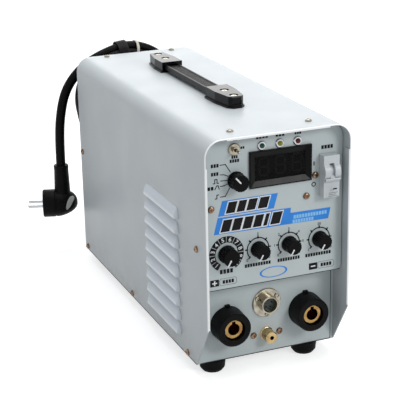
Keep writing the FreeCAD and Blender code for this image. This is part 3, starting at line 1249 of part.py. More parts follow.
# ---- fan ------------------------------------------------------------------------------------------
def fan():
    inner = "(%s - panThickness)" % rearFace
    up = "(footHeight + fanHeight)"
    front = "(%s - fanDepth)" % inner
    frame = block("fanBlock", ("0 - fanSide / 2", front, "%s - fanSide / 2" % up),
                  ("fanSide", "fanDepth", "fanSide"))
    duct = rod("fanDuct", fanBore, "fanDepth + 2", ("0", "%s - 1" % front, up), "back")
    holes = [rod("fanFixing%d" % i, "screwHole", "fanDepth + 2", (x, "%s - 1" % front, z), "back")
             for i, (x, z) in enumerate(fanSpots)]
    ring = less("fanRing", frame, duct, *holes)
    motor = rod("fanMotor", "fanHub", "fanMotorDepth", ("0", front, up), "back")
    struts = [block("fanStrut%s" % way, (x, front, z), (wide, "3", tall)) for way, x, z, wide, tall in (
        ("Level", "0 - %s - 1" % fanBore, "%s - 3" % up, "2 * %s + 2" % fanBore, "6"),
        ("Upright", "-3", "%s - %s - 1" % (up, fanBore), "6", "2 * %s + 2" % fanBore),
    )]
    bearing = rod("fanBearing", "fanPin + runningGap", "fanMotorDepth + 2", ("0", "%s - 1" % front, up),
                  "back")
    keep(less("fanFrame", joined("fanCarried", ring, motor, *struts), bearing), "fan_frame")
    hub, tip = value("fanHub"), value("%s - bladeGap" % fanBore)
    deep = value("fanDepth - fanMotorDepth") - 2
    near = value("fanMotorDepth") + 1
    rotor = Part.makeCylinder(hub, deep, Vector(0, 0, near))
    rotor = rotor.fuse(Part.makeCylinder(value("fanPin"), near + 1, Vector(0, 0, 0.5)))
    room = Part.makeCylinder(tip, deep - 1, Vector(0, 0, near + 0.5))
    blade = Part.makeBox(tip, deep * 1.7, value("bladeThickness"),
                         Vector(0, -deep * 0.85, -value("bladeThickness") / 2))
    blade.Placement = Placement(Vector(0, 0, near + deep / 2), Rotation(Vector(1, 0, 0), value("bladeTilt")))
    blade = blade.common(room)
    count = int(value("bladeCount"))
    blades = [blade.copy().rotate(Vector(0, 0, 0), Vector(0, 0, 1), 360 * i / count) for i in range(count)]
    rotor = rotor.fuse(blades).removeSplitter()
    keep(place(solid("fanRotor", rotor), ("0", front, up), "back"), "fan_rotor")
    lift = "(%s + guardLift)" % rearFace
    pitch = "(%s - guardInset - guardFirst) / (guardRings - 1)" % fanBore
    wires = []
    for i in range(int(value("guardRings"))):
        ringWire = doc.addObject("Part::Torus", "guardRing%d" % i)
        bind(ringWire, Radius1="guardFirst + %d * %s" % (i, pitch), Radius2="guardWire")
        wires.append(place(ringWire, ("0", lift, up), "back"))
    for i, (x, z) in enumerate(fanSpots):
        spoke = doc.addObject("Part::Cylinder", "guardSpoke%d" % i)
        bind(spoke, Radius="guardWire",
             Height="%s * sqrt(2) - guardFirst - screwHole - guardWire / 2" % fanHoles)
        aim = Vector(value(x), 0, value("%s - %s" % (z, up)))
        start = "guardFirst / sqrt(2) * %d"
        place(spoke, (start % math.copysign(1, aim.x), "%s - 1.2 * guardWire" % lift,
                      "%s + %s" % (up, start % math.copysign(1, aim.z))))
        spoke.Placement = Placement(spoke.Placement.Base, Rotation(Vector(0, 0, 1), aim))
        eye = doc.addObject("Part::Torus", "guardEye%d" % i)
        bind(eye, Radius1="screwHole + guardWire", Radius2="guardWire")
        wires += [spoke, place(eye, (x, "%s - 1.2 * guardWire" % lift, z), "back")]
    keep(joined("fanGuard", *wires), "fan_guard")
    keep(copies("chassisScrews", screw, [((x, "%s - 0.2 * guardWire" % lift, z), "back") for x, z in fanSpots]
                + [((x, y, "footBoreDepth"), "down") for x, y in footSpots]), "chassis_screws")


fan()


# ---- power section ---------------------------------------------------------------------------------
def powerSection():
    deck = "(%s + boardThickness)" % boardLow
    keep(block("powerBoard", ("boardLeft", boardNear, boardLow),
               ("boardWidth", "boardLength", "boardThickness")),
         "power_board")
    can = turned("can", [("0", "0"), ("canRadius", "0"), ("canRadius", "canHeight - 1"),
                         ("canRadius - 1", "canHeight"), ("0", "canHeight")])
    keep(copies("cans", can, [(("boardLeft + canRadius + 3", "%s + 20 + %d * canPitch" % (boardNear, i),
                                deck), "up")
                              for i in range(4)]), "capacitors")
    parts = [block("sinkBack", ("0", "0", "0"), ("sinkWall", "sinkLength", "sinkHeight"))]
    for i in range(int(value("finCount"))):
        parts.append(block("fin%d" % i, ("0", "0", "%d * (sinkHeight - finThickness) / (finCount - 1)" % i),
                           ("sinkWidth", "sinkLength", "finThickness")))
    sink = joined("sink", *parts)
    right = "boardLeft + boardWidth - sinkWidth - 3"
    keep(copies("sinks", sink, [((x, "%s + 8" % boardNear, deck), "up")
                                for x in (right, "%s - sinkWidth - 3" % right)]), "heat_sinks")
    left, near = "(boardLeft + 30)", "(%s + boardLength - coreDepth - windingReach - 8)" % boardNear
    core = block("coreBlock", (left, near, deck), ("coreWidth", "coreDepth", "coreHeight"))
    windows = [block("coreWindow%d" % i, (x, "%s - 1" % near, "%s + coreLeg" % deck),
                     ("coreWidth / 2 - 2 * coreLeg", "coreDepth + 2", "coreHeight - 2 * coreLeg"))
               for i, x in enumerate(("%s + coreLeg" % left, "%s + coreWidth / 2 + coreLeg" % left))]
    keep(less("core", core, *windows), "transformer_core")
    gap = "fitGap"
    wound = block("windingBlock", ("%s + coreLeg + %s" % (left, gap), "%s - windingReach" % near,
                                   "%s + coreLeg + %s" % (deck, gap)),
                  ("coreWidth - 2 * coreLeg - 2 * %s" % gap, "coreDepth + 2 * windingReach",
                   "coreHeight - 2 * coreLeg - 2 * %s" % gap))
    leg = block("windingHole", ("%s + coreWidth / 2 - coreLeg - %s" % (left, gap), "%s - %s" % (near, gap),
                                "%s" % deck),
                ("2 * coreLeg + 2 * %s" % gap, "coreDepth + 2 * %s" % gap, "coreHeight"))
    keep(less("winding", wound, leg), "transformer_winding")
    ring = rod("reactorRing", "reactorRadius", "reactorTall",
               ("reactorPlace", "%s + reactorBack" % lowerFace, "footHeight + panThickness"))
    hole = rod("reactorBore", "reactorHole", "reactorTall + 2",
               ("reactorPlace", "%s + reactorBack" % lowerFace, "footHeight + panThickness - 1"))
    keep(less("reactor", ring, hole), "output_reactor")


powerSection()


# ---- mains lead ------------------------------------------------------------------------------------
def gland():
    inner = "(%s - panThickness)" % rearFace
    head = plate("glandHexagon", "XY_Plane", hexagon("glandNut"), "glandNutHeight",
                 ("coilPlace", rearFace, glandUp), "back")
    neck = rod("glandNeckRod", "glandNeck", "panThickness + 10", ("coilPlace", "%s - 10" % inner, glandUp),
               "back")
    sleeve = cone("glandSleeve", "glandBoot", "glandTip", "glandReach + rearPlane - glandNutHeight",
                  ("coilPlace", "%s + glandNutHeight" % rearFace, glandUp), "back")
    ring = rod("glandRing", "glandNut", "5", ("coilPlace", "%s - 5" % inner, glandUp), "back")
    keep(joined("gland", head, neck, sleeve, ring), "cord_gland")


def fromRear(points):
    """Places given across, behind the rear edge and above the cover's lower edge."""
    back, low = value(rearEdge), value("footHeight")
    return [Vector(x, y + back, z + low) for x, y, z in points]


# The lead leaves the gland, hangs in one loose turn behind the machine and rises into the coil.
leadRoute = [
    (-5, 46, 217.7), (-5, 76, 217.7), (-8, 103, 206), (-13, 122, 185), (-20, 130, 158), (-29, 126, 131),
    (-35, 118, 104), (-30, 110, 80), (-17, 103, 60), (3, 96, 47), (27, 88, 42), (51, 80, 47), (71, 73, 60),
    (84, 66, 80), (89, 60, 104), (85, 53, 128), (76, 47, 150), (65, 40, 173), (54, 34, 196),
]
# The other end leaves the coil over its top and hangs to the plug.
dropRoute = [
    (-14, 30, 246), (-44, 31, 240.5), (-69, 32, 226), (-87, 32.5, 203), (-95.5, 31.8, 172),
    (-99, 30.5, 139), (-99, 30.5, 106),
]


def mainsLead():
    gland()
    keep(solid("leadTube", bentTube(fromRear(leadRoute), value("cordRadius"))), "cord_lead")
    keep(solid("dropTube", bentTube(fromRear(dropRoute), value("cordRadius"))), "cord_drop")
    coil = doc.addObject("Part::Torus", "coil")
    bind(coil, Radius1="coilRadius", Radius2="coilThickness")
    keep(place(coil, ("coilPlace", "%s + coilBack" % rearEdge, "footHeight + coilHeight"), "back"),
         "cord_coil")
    spot = ("plugPlace", "%s + plugBack" % rearEdge, "footHeight + plugHeight")
    shell = turned("plugShell", [
        ("0", "0"), ("plugRadius - 1", "0"), ("plugRadius", "1"), ("plugRadius", "plugDepth * 0.55"),
        ("plugRadius * 0.86", "plugDepth * 0.8"), ("plugRadius * 0.6", "plugDepth * 0.95"),
        ("plugRadius * 0.3", "plugDepth"), ("0", "plugDepth"),
    ], ("0 - plugReach", "0", "0"), "right")
    neck = cone("plugNeck", "neckRoot", "neckTip", "neckTop - plugHeight - 6", ("0", "0", "6"))
    sides = ["%s prongPitch / 2" % sign for sign in ("0 -", "0 +")]
    holes = [rod("prongRoom%d" % i, "prongRadius + seatGap", "12", ("0 - plugReach - 1", y, "0"), "right")
             for i, y in enumerate(sides)]
    body = less("plugBody", joined("plugWhole", shell, neck), *holes)
    prong = turned("prong", [
        ("0", "-10"), ("prongRadius", "-10"), ("prongRadius", "prongLength - 1"),
        ("prongRadius - 1", "prongLength"), ("0", "prongLength"),
    ])
    prongs = copies("prongs", prong, [(("0 - plugReach", y, "0"), "left") for y in sides])
    for thing, node in ((body, "plug_body"), (prongs, "plug_pins")):
        place(thing, spot)
        thing.Placement = Placement(thing.Placement.Base, Rotation(Vector(0, 0, -1), value("plugTurn")))
        thing.setExpression(".Placement.Rotation.Angle", formula("plugTurn"))
        keep(thing, node)


mainsLead()

# ---- checks and files ------------------------------------------------------------------------------
doc.recompute()
faults = [item.Name for item in doc.Objects if "Invalid" in item.State or "Error" in item.State]
faults += [item.Label for item in nodes if item.Shape.isNull() or not item.Shape.isValid()]
faults += [item.Label for item in nodes if not item.Shape.Solids]
if faults:
    raise RuntimeError("these failed: " + ", ".join(faults))
if len({item.Label for item in nodes}) != len(nodes):
    raise RuntimeError("two pieces share a label")
os.makedirs("parts", exist_ok=True)
for item in nodes:
    item.Shape.exportStep("parts/%s.step" % item.Label)
print("%d nodes, %d solids" % (len(nodes), sum(len(item.Shape.Solids) for item in nodes)))
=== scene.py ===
import math
import bmesh
import bpy
from mathutils import Matrix, Vector


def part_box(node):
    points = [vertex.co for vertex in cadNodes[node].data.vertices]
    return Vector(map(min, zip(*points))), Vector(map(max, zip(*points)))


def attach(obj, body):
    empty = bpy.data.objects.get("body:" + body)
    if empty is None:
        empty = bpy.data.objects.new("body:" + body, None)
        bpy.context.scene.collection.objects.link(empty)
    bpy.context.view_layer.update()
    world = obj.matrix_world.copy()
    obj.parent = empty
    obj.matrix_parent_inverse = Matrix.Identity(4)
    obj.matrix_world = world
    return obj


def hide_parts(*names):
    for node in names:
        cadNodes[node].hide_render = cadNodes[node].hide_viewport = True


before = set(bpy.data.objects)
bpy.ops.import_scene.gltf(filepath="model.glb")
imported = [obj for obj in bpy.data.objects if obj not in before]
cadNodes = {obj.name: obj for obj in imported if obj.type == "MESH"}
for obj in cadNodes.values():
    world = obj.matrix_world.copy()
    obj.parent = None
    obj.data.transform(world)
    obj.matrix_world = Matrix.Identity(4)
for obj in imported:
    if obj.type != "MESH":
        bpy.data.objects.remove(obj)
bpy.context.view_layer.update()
mm = 0.001

# The same planes as the sheet metal has, in metres.
frontEdge = -0.2155
rearEdge = 0.2005
panelY = frontEdge + 0.015
lowerY = frontEdge + 0.033
foot = 0.013


# camera, light and floor
camSettings = {"place": (-0.51997, -1.29785, 0.60138), "azimuth": -21.8739, "elevation": 18.7546, "roll": -1.3074,
               "lens": 114.54, "sensor": 36.0}


def makeCamera(s):
    a, e, r = (math.radians(s[k]) for k in ("azimuth", "elevation", "roll"))
    back = Vector((math.sin(a) * math.cos(e), -math.cos(a) * math.cos(e), math.sin(e)))
    side = Vector((0, 0, 1)).cross(back).normalized()
    up = back.cross(side)
    turnedSide = side * math.cos(r) + up * math.sin(r)
    turnedUp = up * math.cos(r) - side * math.sin(r)
    data = bpy.data.cameras.new("studioCamera")
    data.lens, data.sensor_width = s["lens"], s["sensor"]
    data.clip_start, data.clip_end = 0.05, 50
    camera = bpy.data.objects.new("studioCamera", data)
    camera.matrix_world = Matrix.Translation(Vector(s["place"])) @ Matrix(
        (turnedSide, turnedUp, back)).transposed().to_4x4()
    bpy.context.scene.collection.objects.link(camera)
    bpy.context.scene.camera = camera


lightSettings = {
    "ambient": 0.46,
    "lamps": [  # name, place, aim, size, watts
        ("topSoftbox", (0.2, 0.1, 1.9), (0, 0, 0.2), 1.5, 24),
        ("frontSoftbox", (0.95, -1.97, 1.3), (0, 0, 0.15), 0.65, 16),
        ("sideSoftbox", (-2.0, -0.3, 0.9), (0, 0, 0.15), 1.2, 3.2),
        ("rearSoftbox", (0.8, 1.9, 1.2), (0, 0, 0.2), 1.4, 9),
    ],
}


def backgroundRays(tree):
    # one for the rays that show the background: straight, mirrored and through glass
    path, total = tree.nodes.new("ShaderNodeLightPath"), None
    for ray in ("Is Camera Ray", "Is Glossy Ray", "Is Transmission Ray"):
        step = tree.nodes.new("ShaderNodeMath")
        step.operation = "MAXIMUM"
        step.inputs[1].default_value = 0.0
        tree.links.new(path.outputs[ray], step.inputs[0])
        if total:
            tree.links.new(total, step.inputs[1])
        total = step.outputs[0]
    return total


def makeLight(s):
    for name, place, aim, size, watts in s["lamps"]:
        data = bpy.data.lights.new(name, "AREA")
        data.size, data.energy = size, watts
        lamp = bpy.data.objects.new(name, data)
        lamp.location = place
        lamp.rotation_euler = (Vector(aim) - Vector(place)).to_track_quat("-Z", "Y").to_euler()
        bpy.context.scene.collection.objects.link(lamp)
    world = bpy.data.worlds.new("studioWorld")
    world.use_nodes = True
    tree = world.node_tree
    tree.nodes.clear()
    soft = tree.nodes.new("ShaderNodeBackground")
    soft.inputs["Color"].default_value = (0.93, 0.96, 1.0, 1)
    soft.inputs["Strength"].default_value = s["ambient"]
    white = tree.nodes.new("ShaderNodeBackground")
    white.inputs["Color"].default_value = (1, 1, 1, 1)
    mix = tree.nodes.new("ShaderNodeMixShader")
    out = tree.nodes.new("ShaderNodeOutputWorld")
    tree.links.new(backgroundRays(tree), mix.inputs["Fac"])
    tree.links.new(soft.outputs[0], mix.inputs[1])
    tree.links.new(white.outputs[0], mix.inputs[2])
    tree.links.new(mix.outputs[0], out.inputs["Surface"])
    bpy.context.scene.world = world


floorSettings = {"grey": 0.6, "glow": 0.66, "half": 12}


def makeFloor(s):
    material = bpy.data.materials.new("paleFloor")
    material.use_nodes = True
    tree = material.node_tree
    tree.nodes.clear()
    matt = tree.nodes.new("ShaderNodeBsdfDiffuse")
    matt.inputs["Color"].default_value = (s["grey"], s["grey"], s["grey"], 1)
    glow = tree.nodes.new("ShaderNodeEmission")
    glow.inputs["Color"].default_value = (1, 1, 1, 1)
    lift = tree.nodes.new("ShaderNodeMath")
    lift.operation = "MULTIPLY"
    lift.inputs[1].default_value = s["glow"]
    both = tree.nodes.new("ShaderNodeAddShader")
    out = tree.nodes.new("ShaderNodeOutputMaterial")
    tree.links.new(backgroundRays(tree), lift.inputs[0])
    tree.links.new(lift.outputs[0], glow.inputs["Strength"])
    tree.links.new(matt.outputs[0], both.inputs[0])
    tree.links.new(glow.outputs[0], both.inputs[1])
    tree.links.new(both.outputs[0], out.inputs["Surface"])
    bm = bmesh.new()
    bmesh.ops.create_grid(bm, x_segments=1, y_segments=1, size=s["half"])
    mesh = bpy.data.meshes.new("studioFloor")
    bm.to_mesh(mesh)
    bm.free()
    floor = bpy.data.objects.new("studioFloor", mesh)
    mesh.materials.append(material)
    bpy.context.scene.collection.objects.link(floor)


makeCamera(camSettings)
makeLight(lightSettings)
makeFloor(floorSettings)
bpy.context.scene.view_settings.view_transform = "Standard"
print("stage: camera, light and floor are set")


# finishes
def linear(colour):
    parts = [c / 255 for c in colour]
    return [c / 12.92 if c <= 0.04045 else ((c + 0.055) / 1.055) ** 2.4 for c in parts] + [1]


def makeFinish(name, s):
    material = bpy.data.materials.new(name)
    material.use_nodes = True
    tree = material.node_tree
    shader = tree.nodes["Principled BSDF"]
    coords = tree.nodes.new("ShaderNodeTexCoord")
    mapping = tree.nodes.new("ShaderNodeMapping")
    mapping.inputs["Scale"].default_value = s.get("stretch", (1, 1, 1))
    tree.links.new(coords.outputs["Object"], mapping.inputs["Vector"])

    def noise(scale, detail, roughness=0.5):
        texture = tree.nodes.new("ShaderNodeTexNoise")
        texture.inputs["Scale"].default_value = scale
        texture.inputs["Detail"].default_value = detail
        texture.inputs["Roughness"].default_value = roughness
        tree.links.new(mapping.outputs["Vector"], texture.inputs["Vector"])
        return texture.outputs["Fac"]

    def ramp(source, stops):
        steps = tree.nodes.new("ShaderNodeValToRGB")
        for item in stops[2:]:
            steps.color_ramp.elements.new(item[0])
        for element, (place, colour) in zip(steps.color_ramp.elements, stops):
            element.position, element.color = place, colour
        tree.links.new(source, steps.inputs["Fac"])
        return steps.outputs["Color"]

    def along(axis, start, end):  # rises from 0 to 1 between two places on an axis
        split = tree.nodes.new("ShaderNodeSeparateXYZ")
        tree.links.new(coords.outputs["Object"], split.inputs["Vector"])
        spread = tree.nodes.new("ShaderNodeMapRange")
        spread.inputs["From Min"].default_value, spread.inputs["From Max"].default_value = start, end
        tree.links.new(split.outputs[axis], spread.inputs["Value"])
        return spread.outputs["Result"]

    def times(first, second):
        product = tree.nodes.new("ShaderNodeMath")
        product.operation = "MULTIPLY"
        tree.links.new(first, product.inputs[0])
        if isinstance(second, float):
            product.inputs[1].default_value = second
        else:
            tree.links.new(second, product.inputs[1])
        return product.outputs[0]

    def mix(amount, first, second):
        blend = tree.nodes.new("ShaderNodeMix")
        blend.data_type = "RGBA"
        tree.links.new(amount, blend.inputs["Factor"])
        tree.links.new(first, blend.inputs[6])
        if isinstance(second, list):
            blend.inputs[7].default_value = second
        else:
            tree.links.new(second, blend.inputs[7])
        return blend.outputs[2]

    colour = linear(s["colour"])
    other = linear(s.get("other", s["colour"]))
    grain = noise(s.get("grain", 900), 3)
    patches = noise(s.get("patches", 25), 4)
    if "bands" in s:  # colours one after another along X, from place to place in metres
        bands = along("X", s["bands"]["start"], s["bands"]["end"])
        shades = ramp(bands, [(p, linear(c)) for p, c in s["bands"]["stops"]])
        shade = mix(ramp(patches, [(0.35, [0, 0, 0, 1]), (0.65, [0.25, 0.25, 0.25, 1])]), shades, other)
    else:
        shade = ramp(patches, [(0.36, colour), (0.64, other)])
    rough = tree.nodes.new("ShaderNodeMapRange")
    rough.inputs["From Min"].default_value, rough.inputs["From Max"].default_value = 0.3, 0.7
    rough.inputs["To Min"].default_value, rough.inputs["To Max"].default_value = s.get("rough", (0.4, 0.5))
    tree.links.new(noise(s.get("smears", 60), 5, 0.6), rough.inputs["Value"])
    if "wear" in s:  # scuffs, dust or tarnish in scattered spots
        spots = ramp(noise(s["wear"].get("scale", 45), 9, 0.72),
                     [(s["wear"].get("from", 0.62), [0, 0, 0, 1]), (s["wear"].get("to", 0.72), [1, 1, 1, 1])])
        shade = mix(times(spots, s["wear"]["amount"]), shade, linear(s["wear"]["colour"]))
    for axis, (near, far), tone in s.get("shades", ()):  # painted light and shade: a paler or darker tone from one place to another along an axis
        shade = mix(along(axis, near, far), shade, linear(tone))
    if "low" in s:  # grime that gathers towards the floor
        dirt = ramp(noise(70, 8, 0.7), [(0.42, [0, 0, 0, 1]), (0.75, [0.55, 0.55, 0.55, 1])])
        shade = mix(times(along("Z", s["low"]["height"], foot), dirt), shade, linear(s["low"]["colour"]))
    bump = tree.nodes.new("ShaderNodeBump")
    bump.inputs["Strength"].default_value = s.get("bump", 0.15)
    bump.inputs["Distance"].default_value = s.get("depth", 0.0004)
    tree.links.new(grain, bump.inputs["Height"])
    tree.links.new(bump.outputs["Normal"], shader.inputs["Normal"])
    tree.links.new(shade, shader.inputs["Base Color"])
    tree.links.new(rough.outputs["Result"], shader.inputs["Roughness"])
    shader.inputs["Metallic"].default_value = s.get("metal", 0.0)
    shader.inputs["Specular IOR Level"].default_value = s.get("specular", 0.5)
    shader.inputs["Alpha"].default_value = s.get("alpha", 1.0)
    return material


finishes = {
    "caseEnamel": {"colour": (184, 190, 193), "other": (188, 194, 196), "patches": 9, "grain": 1500, "bump": 0.1,
                   "depth": 0.0002, "rough": (0.34, 0.46), "smears": 22, "specular": 0.22,
                   "wear": {"colour": (150, 152, 150), "scale": 38, "from": 0.66, "to": 0.8, "amount": 0.3},
                   "low": {"height": 0.05, "colour": (150, 148, 140)},
                   # painted highlight: the louvre hoods, where they stand out past the side, are painted paler, and
                   # their lips palest, as if lit from above
                   "shades": [("X", (-0.0801, -0.0809), (210, 217, 224)), ("X", (0.0801, 0.0809), (210, 217, 224)),
                              ("X", (-0.0841, -0.0844), (232, 238, 242)), ("X", (0.0841, 0.0844), (232, 238, 242)),
                              # painted highlight: the cover's front rim is painted near white, as if its folded edge
                              # caught the light
                              ("Y", (frontEdge + 0.0016, frontEdge + 0.0004), (250, 252, 252))]},
    "panelEnamel": {"colour": (188, 198, 199), "other": (193, 202, 202), "patches": 12, "grain": 1500, "bump": 0.08,
                    "depth": 0.0002, "rough": (0.38, 0.48), "smears": 30,
                    "wear": {"colour": (158, 160, 158), "scale": 60, "from": 0.68, "to": 0.8, "amount": 0.3}},
    "foilBlack": {"colour": (11, 11, 13), "other": (18, 18, 20), "patches": 200, "grain": 3000, "rough": (0.4, 0.5),
                  "bump": 0.05, "specular": 0.12},
    "foilWhite": {"colour": (232, 235, 236), "other": (224, 228, 230), "patches": 160, "grain": 3000,
                  "rough": (0.4, 0.5), "bump": 0.05},
    "foilBlue": {"colour": (22, 126, 216), "other": (30, 134, 224), "patches": 70, "grain": 2500, "bump": 0.06,
                 "rough": (0.35, 0.5),
                 "wear": {"colour": (90, 160, 220), "scale": 120, "from": 0.66, "to": 0.76, "amount": 0.5}},
    "foilPaleBlue": {"colour": (128, 190, 240), "other": (136, 196, 242), "patches": 70, "grain": 2500,
                     "rough": (0.35, 0.5), "bump": 0.06},
    "foilGrey": {"colour": (70, 74, 78), "other": (84, 88, 92), "patches": 300, "grain": 3000, "rough": (0.4, 0.5),
                 "bump": 0.05},
    "glossBlack": {"colour": (5, 5, 6), "other": (8, 8, 9), "patches": 60, "grain": 1200, "bump": 0.05,
                   "rough": (0.24, 0.34), "smears": 90, "specular": 0.07,
                   "wear": {"colour": (30, 30, 32), "scale": 160, "from": 0.68, "to": 0.8, "amount": 0.3}},
    "bezelGloss": {"colour": (5, 5, 6), "other": (8, 8, 9), "patches": 60, "grain": 1200, "bump": 0.02,
                   "rough": (0.2, 0.26), "smears": 90, "specular": 0.08,
                   "wear": {"colour": (28, 28, 30), "scale": 160, "from": 0.68, "to": 0.8, "amount": 0.25}},
    "mouldedBlack": {"colour": (6, 6, 7), "other": (10, 10, 11), "patches": 70, "grain": 2200, "bump": 0.22,
                     "rough": (0.38, 0.52), "smears": 80, "specular": 0.08,
                     "wear": {"colour": (40, 40, 41), "scale": 90, "from": 0.68, "to": 0.8, "amount": 0.3}},
    "capBlack": {"colour": (4, 4, 6), "other": (7, 7, 10), "patches": 80, "grain": 1800, "bump": 0.04,
                 "rough": (0.1, 0.2), "smears": 90, "specular": 0.16,
                 "wear": {"colour": (40, 40, 44), "scale": 110, "from": 0.66, "to": 0.8, "amount": 0.2}},
    "strapBlack": {"colour": (8, 8, 10), "other": (14, 14, 17), "patches": 120, "grain": 2400, "bump": 0.02,
                   "rough": (0.3, 0.4), "smears": 120, "specular": 0.18,
                   "wear": {"colour": (60, 60, 64), "scale": 150, "from": 0.62, "to": 0.78, "amount": 0.3}},
    "footRubber": {"colour": (8, 8, 9), "other": (14, 14, 14), "patches": 120, "grain": 1600, "bump": 0.3,
                   "rough": (0.55, 0.75), "specular": 0.08,
                   "wear": {"colour": (50, 48, 44), "scale": 140, "from": 0.66, "to": 0.8, "amount": 0.3}},
    "leadRubber": {"colour": (4, 4, 5), "other": (7, 7, 8), "patches": 60, "grain": 1400, "bump": 0.18,
                   "rough": (0.36, 0.5), "smears": 70, "specular": 0.07,
                   "wear": {"colour": (42, 41, 40), "scale": 90, "from": 0.68, "to": 0.82, "amount": 0.3}},
    "tieNylon": {"colour": (186, 182, 170), "other": (172, 168, 156), "patches": 200, "grain": 1500, "bump": 0.2,
                 "rough": (0.35, 0.5)},
    "yellowZinc": {"colour": (146, 120, 98), "other": (108, 84, 69), "patches": 260, "grain": 1500, "bump": 0.08,
                   "rough": (0.16, 0.3), "metal": 1.0,
                   "wear": {"colour": (92, 72, 60), "scale": 300, "from": 0.58, "to": 0.72, "amount": 0.45}},
    "dullNickel": {"colour": (170, 164, 150), "other": (142, 136, 122), "patches": 150, "grain": 1400, "bump": 0.03,
                   "rough": (0.12, 0.26), "metal": 1.0,
                   "wear": {"colour": (126, 118, 98), "scale": 200, "from": 0.62, "to": 0.76, "amount": 0.15}},
    "brightNickel": {"colour": (250, 240, 224), "other": (236, 224, 206), "patches": 150, "grain": 1400, "bump": 0.03,
                     "rough": (0.3, 0.42), "metal": 0.6},
    "platedSteel": {"colour": (172, 174, 176), "other": (152, 154, 158), "patches": 160, "grain": 1800, "bump": 0.2,
                    "rough": (0.28, 0.44), "metal": 1.0,
                    "wear": {"colour": (120, 118, 112), "scale": 180, "from": 0.58, "to": 0.74, "amount": 0.4}},
    "turnedBrass": {"colour": (194, 170, 124), "other": (166, 140, 98), "patches": 120, "grain": 1200,
                    "stretch": (1, 6, 1), "bump": 0.15, "rough": (0.16, 0.3), "metal": 1.0,
                    "wear": {"colour": (110, 84, 58), "scale": 160, "from": 0.58, "to": 0.74, "amount": 0.45}},
    "socketBrass": {"colour": (168, 138, 88), "other": (138, 106, 66), "patches": 120, "grain": 1200, "bump": 0.06,
                    "rough": (0.14, 0.26), "metal": 1.0,
                    # painted shade: the brass turns dark brown deeper in the bore, where shade falls
                    "shades": [("Y", (lowerY - 0.0178, lowerY - 0.012), (118, 74, 44))]},
    "chromeRing": {"colour": (186, 188, 190), "other": (168, 170, 172), "patches": 300, "grain": 2200, "bump": 0.08,
                   "rough": (0.12, 0.24), "metal": 1.0},
    "lampLens": {"colour": (20, 96, 66), "other": (8, 12, 10), "patches": 500, "grain": 2500, "bump": 0.05,
                 "rough": (0.12, 0.22), "specular": 0.3,
                 "bands": {"start": -0.025, "end": 0.039, "stops": [
                     (0.0, (4, 76, 52)), (0.34, (4, 76, 52)), (0.36, (142, 140, 20)), (0.64, (142, 140, 20)),
                     (0.66, (92, 2, 8)), (1.0, (92, 2, 8))]}},  # green, yellow and red
    "insertGreen": {"colour": (26, 36, 30), "other": (34, 46, 38), "patches": 200, "grain": 1500, "bump": 0.1,
                    "rough": (0.2, 0.34), "specular": 0.4},
    # painted shadow: a dark grey for the strips that stand in for the shade under edges and in seams
    "shadowLinePaint": {"colour": (40, 42, 44), "other": (58, 60, 62), "patches": 60, "grain": 1500, "bump": 0.1,
                  "rough": (0.5, 0.6), "specular": 0.1},
    "smokedWindow": {"colour": (6, 6, 7), "other": (9, 9, 10), "patches": 40, "grain": 900, "bump": 0.02,
                     "rough": (0.05, 0.12), "smears": 40, "alpha": 0.7, "specular": 0.07},
    "segmentGrey": {"colour": (196, 186, 180), "other": (184, 174, 168), "patches": 300, "grain": 2500,
                    "rough": (0.5, 0.6), "bump": 0.05},
    "breakerGrey": {"colour": (194, 200, 203), "other": (200, 206, 208), "patches": 60, "grain": 2200, "bump": 0.12,
                    "rough": (0.3, 0.44), "smears": 70,
                    "wear": {"colour": (176, 176, 172), "scale": 160, "from": 0.64, "to": 0.78, "amount": 0.4}},
    "fanBlack": {"colour": (20, 20, 22), "other": (30, 30, 32), "patches": 40, "grain": 2000, "bump": 0.2,
                 "rough": (0.4, 0.55),
                 "wear": {"colour": (96, 92, 86), "scale": 55, "from": 0.55, "to": 0.8, "amount": 0.45}},
    "guardWire": {"colour": (190, 192, 194), "other": (170, 172, 176), "patches": 120, "grain": 1800, "bump": 0.1,
                  "rough": (0.16, 0.3), "metal": 1.0},
    "extrudedAluminium": {"colour": (186, 188, 190), "other": (172, 174, 177), "patches": 50, "grain": 1500,
                          "stretch": (1, 0.1, 1), "bump": 0.2, "rough": (0.3, 0.45), "metal": 1.0,
                          "wear": {"colour": (128, 126, 122), "scale": 60, "from": 0.58, "to": 0.76, "amount": 0.4}},
    "boardLacquer": {"colour": (14, 82, 44), "other": (20, 96, 54), "patches": 220, "grain": 900, "bump": 0.3,
                     "rough": (0.25, 0.4)},
    "canSleeve": {"colour": (22, 26, 44), "other": (28, 32, 52), "patches": 80, "grain": 1500, "bump": 0.1,
                  "rough": (0.3, 0.42)},
    "ferrite": {"colour": (52, 52, 55), "other": (66, 66, 68), "patches": 160, "grain": 1100, "bump": 0.4,
                "rough": (0.5, 0.7)},
    "copperWinding": {"colour": (168, 92, 50), "other": (136, 70, 38), "patches": 90, "grain": 700,
                      "stretch": (1, 1, 5), "bump": 0.5, "rough": (0.3, 0.5), "metal": 0.7},
    "reactorTape": {"colour": (198, 170, 74), "other": (176, 146, 60), "patches": 60, "grain": 700,
                    "stretch": (1, 1, 0.2), "bump": 0.4, "rough": (0.4, 0.6)},
    "hoseRubber": {"colour": (26, 34, 60), "other": (32, 40, 70), "patches": 80, "grain": 1500, "bump": 0.2,
                   "rough": (0.35, 0.5)},
    "plugPatch": {"colour": (176, 177, 172), "other": (164, 166, 162), "patches": 160, "grain": 2000, "bump": 0.15,
                  "rough": (0.4, 0.55)},
}
materials = {name: makeFinish(name, s) for name, s in finishes.items()}

